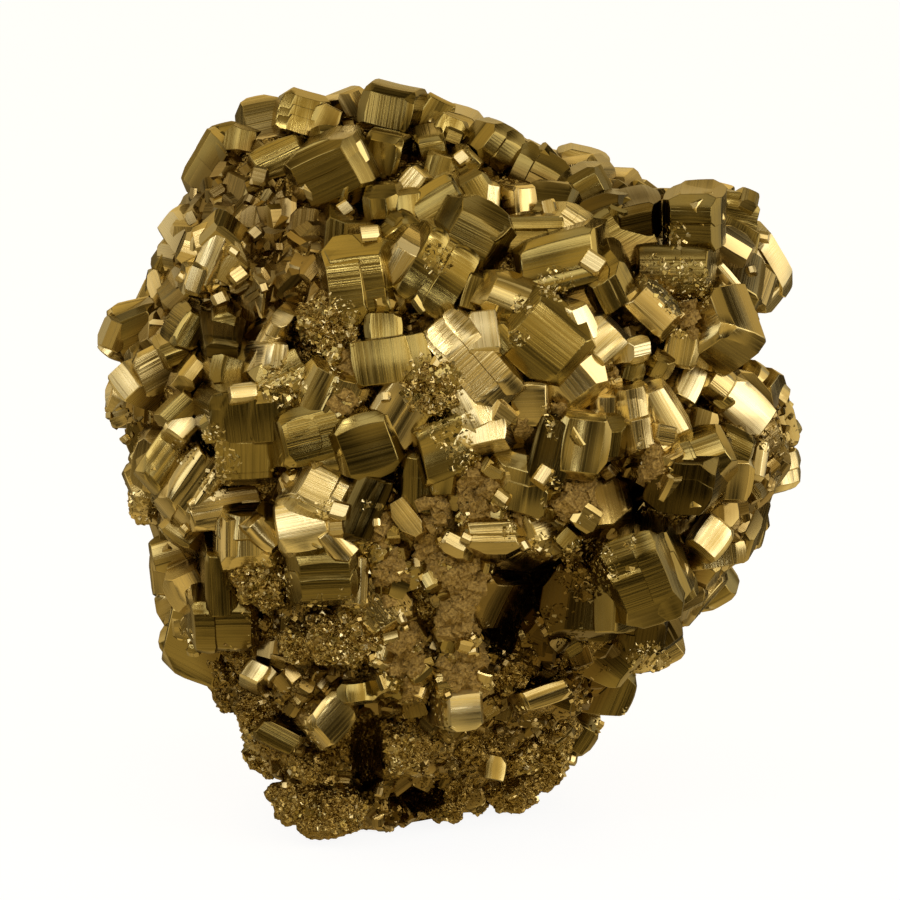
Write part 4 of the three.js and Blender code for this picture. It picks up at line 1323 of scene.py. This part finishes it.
def kept_above(height, back_height, most_powder):
    """Keeps what is above the first height on the front, and above the second one all round."""
    def kept(u, v):
        if u is None:
            return v > back_height
        many_small = u < MANY_SMALL_LEFT_OF and v > MANY_SMALL_ABOVE
        powder = place_share(u, v, POWDER_PLACES)
        return v > height and not many_small and powder < most_powder and kept_all(u, v)
    return kept


def kept_sparse(u, v):
    return u is None or place_share(u, v, POWDER_PLACES) < GAP_GRAINS_POWDER and kept_all(u, v)


def kept_grainy(u, v):
    if near_any(u, v, STANDING_CRYSTALS, BARE_AROUND):
        return False
    if any(math.hypot(u - r, v - up) < radius for r, up, radius in GRAIN_SPOTS):
        return True
    patchy = noise.noise(Vector((u, v, 0)) / GRAIN_PATCHES)
    if place_share(u, v, POWDER_PLACES) > 0:
        return patchy > POWDER_GRAINS_FROM
    return is_granular(u, v) and kept_all(u, v) and patchy > GRAINS_FROM


def kept_round_grainy(u, v):
    return u is None and noise.noise(Vector((v, v, v)) / ROUND_PATCHES) > ROUND_GRAINS_FROM


def kept_crumbly(u, v):
    return u is not None and place_share(u, v, POWDER_PLACES) > 0 and kept_all(u, v)


def kept_patch(u, v):
    lowest, highest = PATCH_HEIGHTS
    if u is None or u > PATCH_LEFT_OF or not lowest < v < highest:
        return False
    return all(math.hypot(u - r, v - up) > radius for r, up, radius in PATCH_BARE)


KEPT_LARGE = kept_above(height=30, back_height=24, most_powder=0.1)
KEPT_SMALLER = kept_above(height=22, back_height=0, most_powder=0.3)

# Crystals and grains that grow on what is there before them: name, seed, spacing on the front and all
# round, sizes, how far out as a share of the size, leaning, where they are kept, whether they grow on
# the mass alone, templates, and the range of their tones if it isn't the usual one. Tones below 0 are
# painted shade, tones above 1 a painted highlight.
GROWN_PIECES = (
    ("gap_crystals", 31, 4.5, 4.5, (7, 10.5), (0.3, 0.46), 0.6, KEPT_LARGE, True, "plain", None),
    ("gap_cubes", 32, 3.6, 3.6, (3.4, 5.4), (0.15, 0.4), 0.8, KEPT_SMALLER, True, "small", None),
    ("patch_cubes", 36, 1.9, 0, (3, 5.2), (0.12, 0.36), 0.9, kept_patch, False, "small", (0.3, 1.8)),
    ("perched_cubes", 34, 12, 10, (2.5, 4.5), (0.05, 0.25), 0.9, KEPT_SMALLER, False, "small", None),
    ("gap_grains", 33, 1.7, 1.9, (1.4, 3.2), (0.3, 0.7), 0.9, kept_sparse, True, "small", None),
    ("perched_grains", 35, 0.4, 0, (0.35, 0.75), (0.05, 0.3), 0.9, kept_grainy, False, "grain", (-1, 2)),
    ("round_grains", 37, 10, 1.1, (0.5, 1.1), (0.2, 0.6), 0.9, kept_round_grainy, False, "grain", None),
)


def shade(box):
    """Paints shade on a box of the front that shows in one of the shaded places, by darkening its tone."""
    if box["middle"].y >= 0:
        return
    right, up = place_seen(box["middle"])
    for *place, tone in SHADED_PLACES:
        share = place_share(right, up, (place,))
        if share > 0:
            box["tone"] = tone * min(1, 2 * share)


def dress(row, box):
    """Gives a listed crystal's box its own looks: striation strength, and painted shade or a painted
    highlight through its tone.
    """
    if near_outline(row):
        box["flare"] = 0
    for crystals, tone, lined in CRYSTAL_LOOKS:
        if near_any(row[0], row[1], crystals, LISTED_WITHIN):
            looks = (("tone", tone), ("lined", lined))
            box.update({name: value for name, value in looks if value is not None})


def sorted_boxes():
    """Boxes of the front's crystals, of the smaller ones, of the sides' and of the lumps of grains."""
    listed = FRONT_CRYSTALS + SMALL_CRYSTALS
    lumpy = [listed_box(row) for row in listed if is_granular(row[0], row[1])]
    sides = []
    for box in round_boxes() + fill_boxes():
        right, up = place_seen(box["middle"])
        low_back = box["middle"].z < LOW_BACK and box["middle"].y > 0
        on_front = box["middle"].y < 0 and is_granular(right, up)
        if box["middle"].y < 0 and in_hollow(right, up):
            continue
        (lumpy if low_back or on_front else sides).append(box)
    for box in sides:
        box["flare"] = SIDE_FLARE
        if box["middle"].z > HIGH_SIDES:
            box["tone"] = HIGH_SIDES_TONE
        shade(box)
    fronts = [row for row in FRONT_CRYSTALS if not is_granular(row[0], row[1])]
    smalls = [row for row in SMALL_CRYSTALS if not is_granular(row[0], row[1])]
    front_boxes = [front_box(row) for row in fronts]
    small_boxes = [listed_box(row) for row in smalls]
    for row, box in zip(fronts + smalls, front_boxes + small_boxes):
        dress(row, box)
    return front_boxes, small_boxes, sides, lumpy


def build():
    striated, granular = striated_pyrite(), granular_pyrite()
    templates = {kind: crystal_templates(kind) for kind in TEMPLATES}
    rng = np.random.default_rng(COMMON_SEED)
    mass = mass_shape(rng)
    surface = Surface(mass)
    front_boxes, small_boxes, sides, lumpy = sorted_boxes()
    crystals = (
        ("front_crystals", with_steps(front_boxes), "large", FRONT_BULGE),
        ("side_crystals", sides, "middle", SIDE_BULGE),
        ("small_crystals", small_boxes, "middle", SMALL_BULGE),
    )
    for name, boxes, kind, bulge in crystals:
        mesh = joined_crystals(name, boxes, templates[kind], rng, bulge, CRYSTAL_WOBBLE)
        surface.grow(mesh)
        piece_of(mesh, striated)
    mesh = lumps("granular_lumps", lumpy, rng)
    surface.grow(mesh)
    piece_of(mesh, granular)
    for name, *rule, kind, tones in GROWN_PIECES:
        boxes = gap_boxes(surface, *rule)
        # Tones from these ranges paint shade and highlights into the pieces' colour.
        if tones:
            for box in boxes:
                box["tone"] = rng.uniform(*tones)
        for box in boxes:
            shade(box)
        mesh = joined_crystals(name, boxes, templates[kind], rng, GAP_BULGE, GAP_WOBBLE)
        surface.grow(mesh)
        piece_of(mesh, striated)

    # Powder crumbs and glints come last, and nothing grows on them.
    crumbs = gap_boxes(surface, CRUMB_SEED, CRUMB_SPACING, 0, CRUMB_SIZES, CRUMB_OUT, CRUMB_LEAN,
                       kept_crumbly, True)
    mesh = joined_crystals("powder_crumbs", crumbs, templates["grain"], rng, CRUMB_BULGE, CRUMB_WOBBLE)
    set_values(mesh, "powder", "POINT", [CRUMB_POWDER] * len(mesh.vertices))
    piece_of(mesh, granular)
    mesh = joined_crystals("glint_cubes", glint_boxes(surface), templates["small"], rng, GLINT_BULGE, 0)
    piece_of(mesh, striated)

    # The mass stands for the whole solid.
    powder = [powder_share(v.co) for v in mass.verts]
    bmesh.ops.scale(mass, vec=(MM, MM, MM), verts=mass.verts)
    mesh = bpy.data.meshes.new("pyrite_mass")
    mass.to_mesh(mesh)
    set_values(mesh, "powder", "POINT", powder)
    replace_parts(piece_of(mesh, granular), "pyrite_specimen")


camera_of_photograph()
studio()
build()
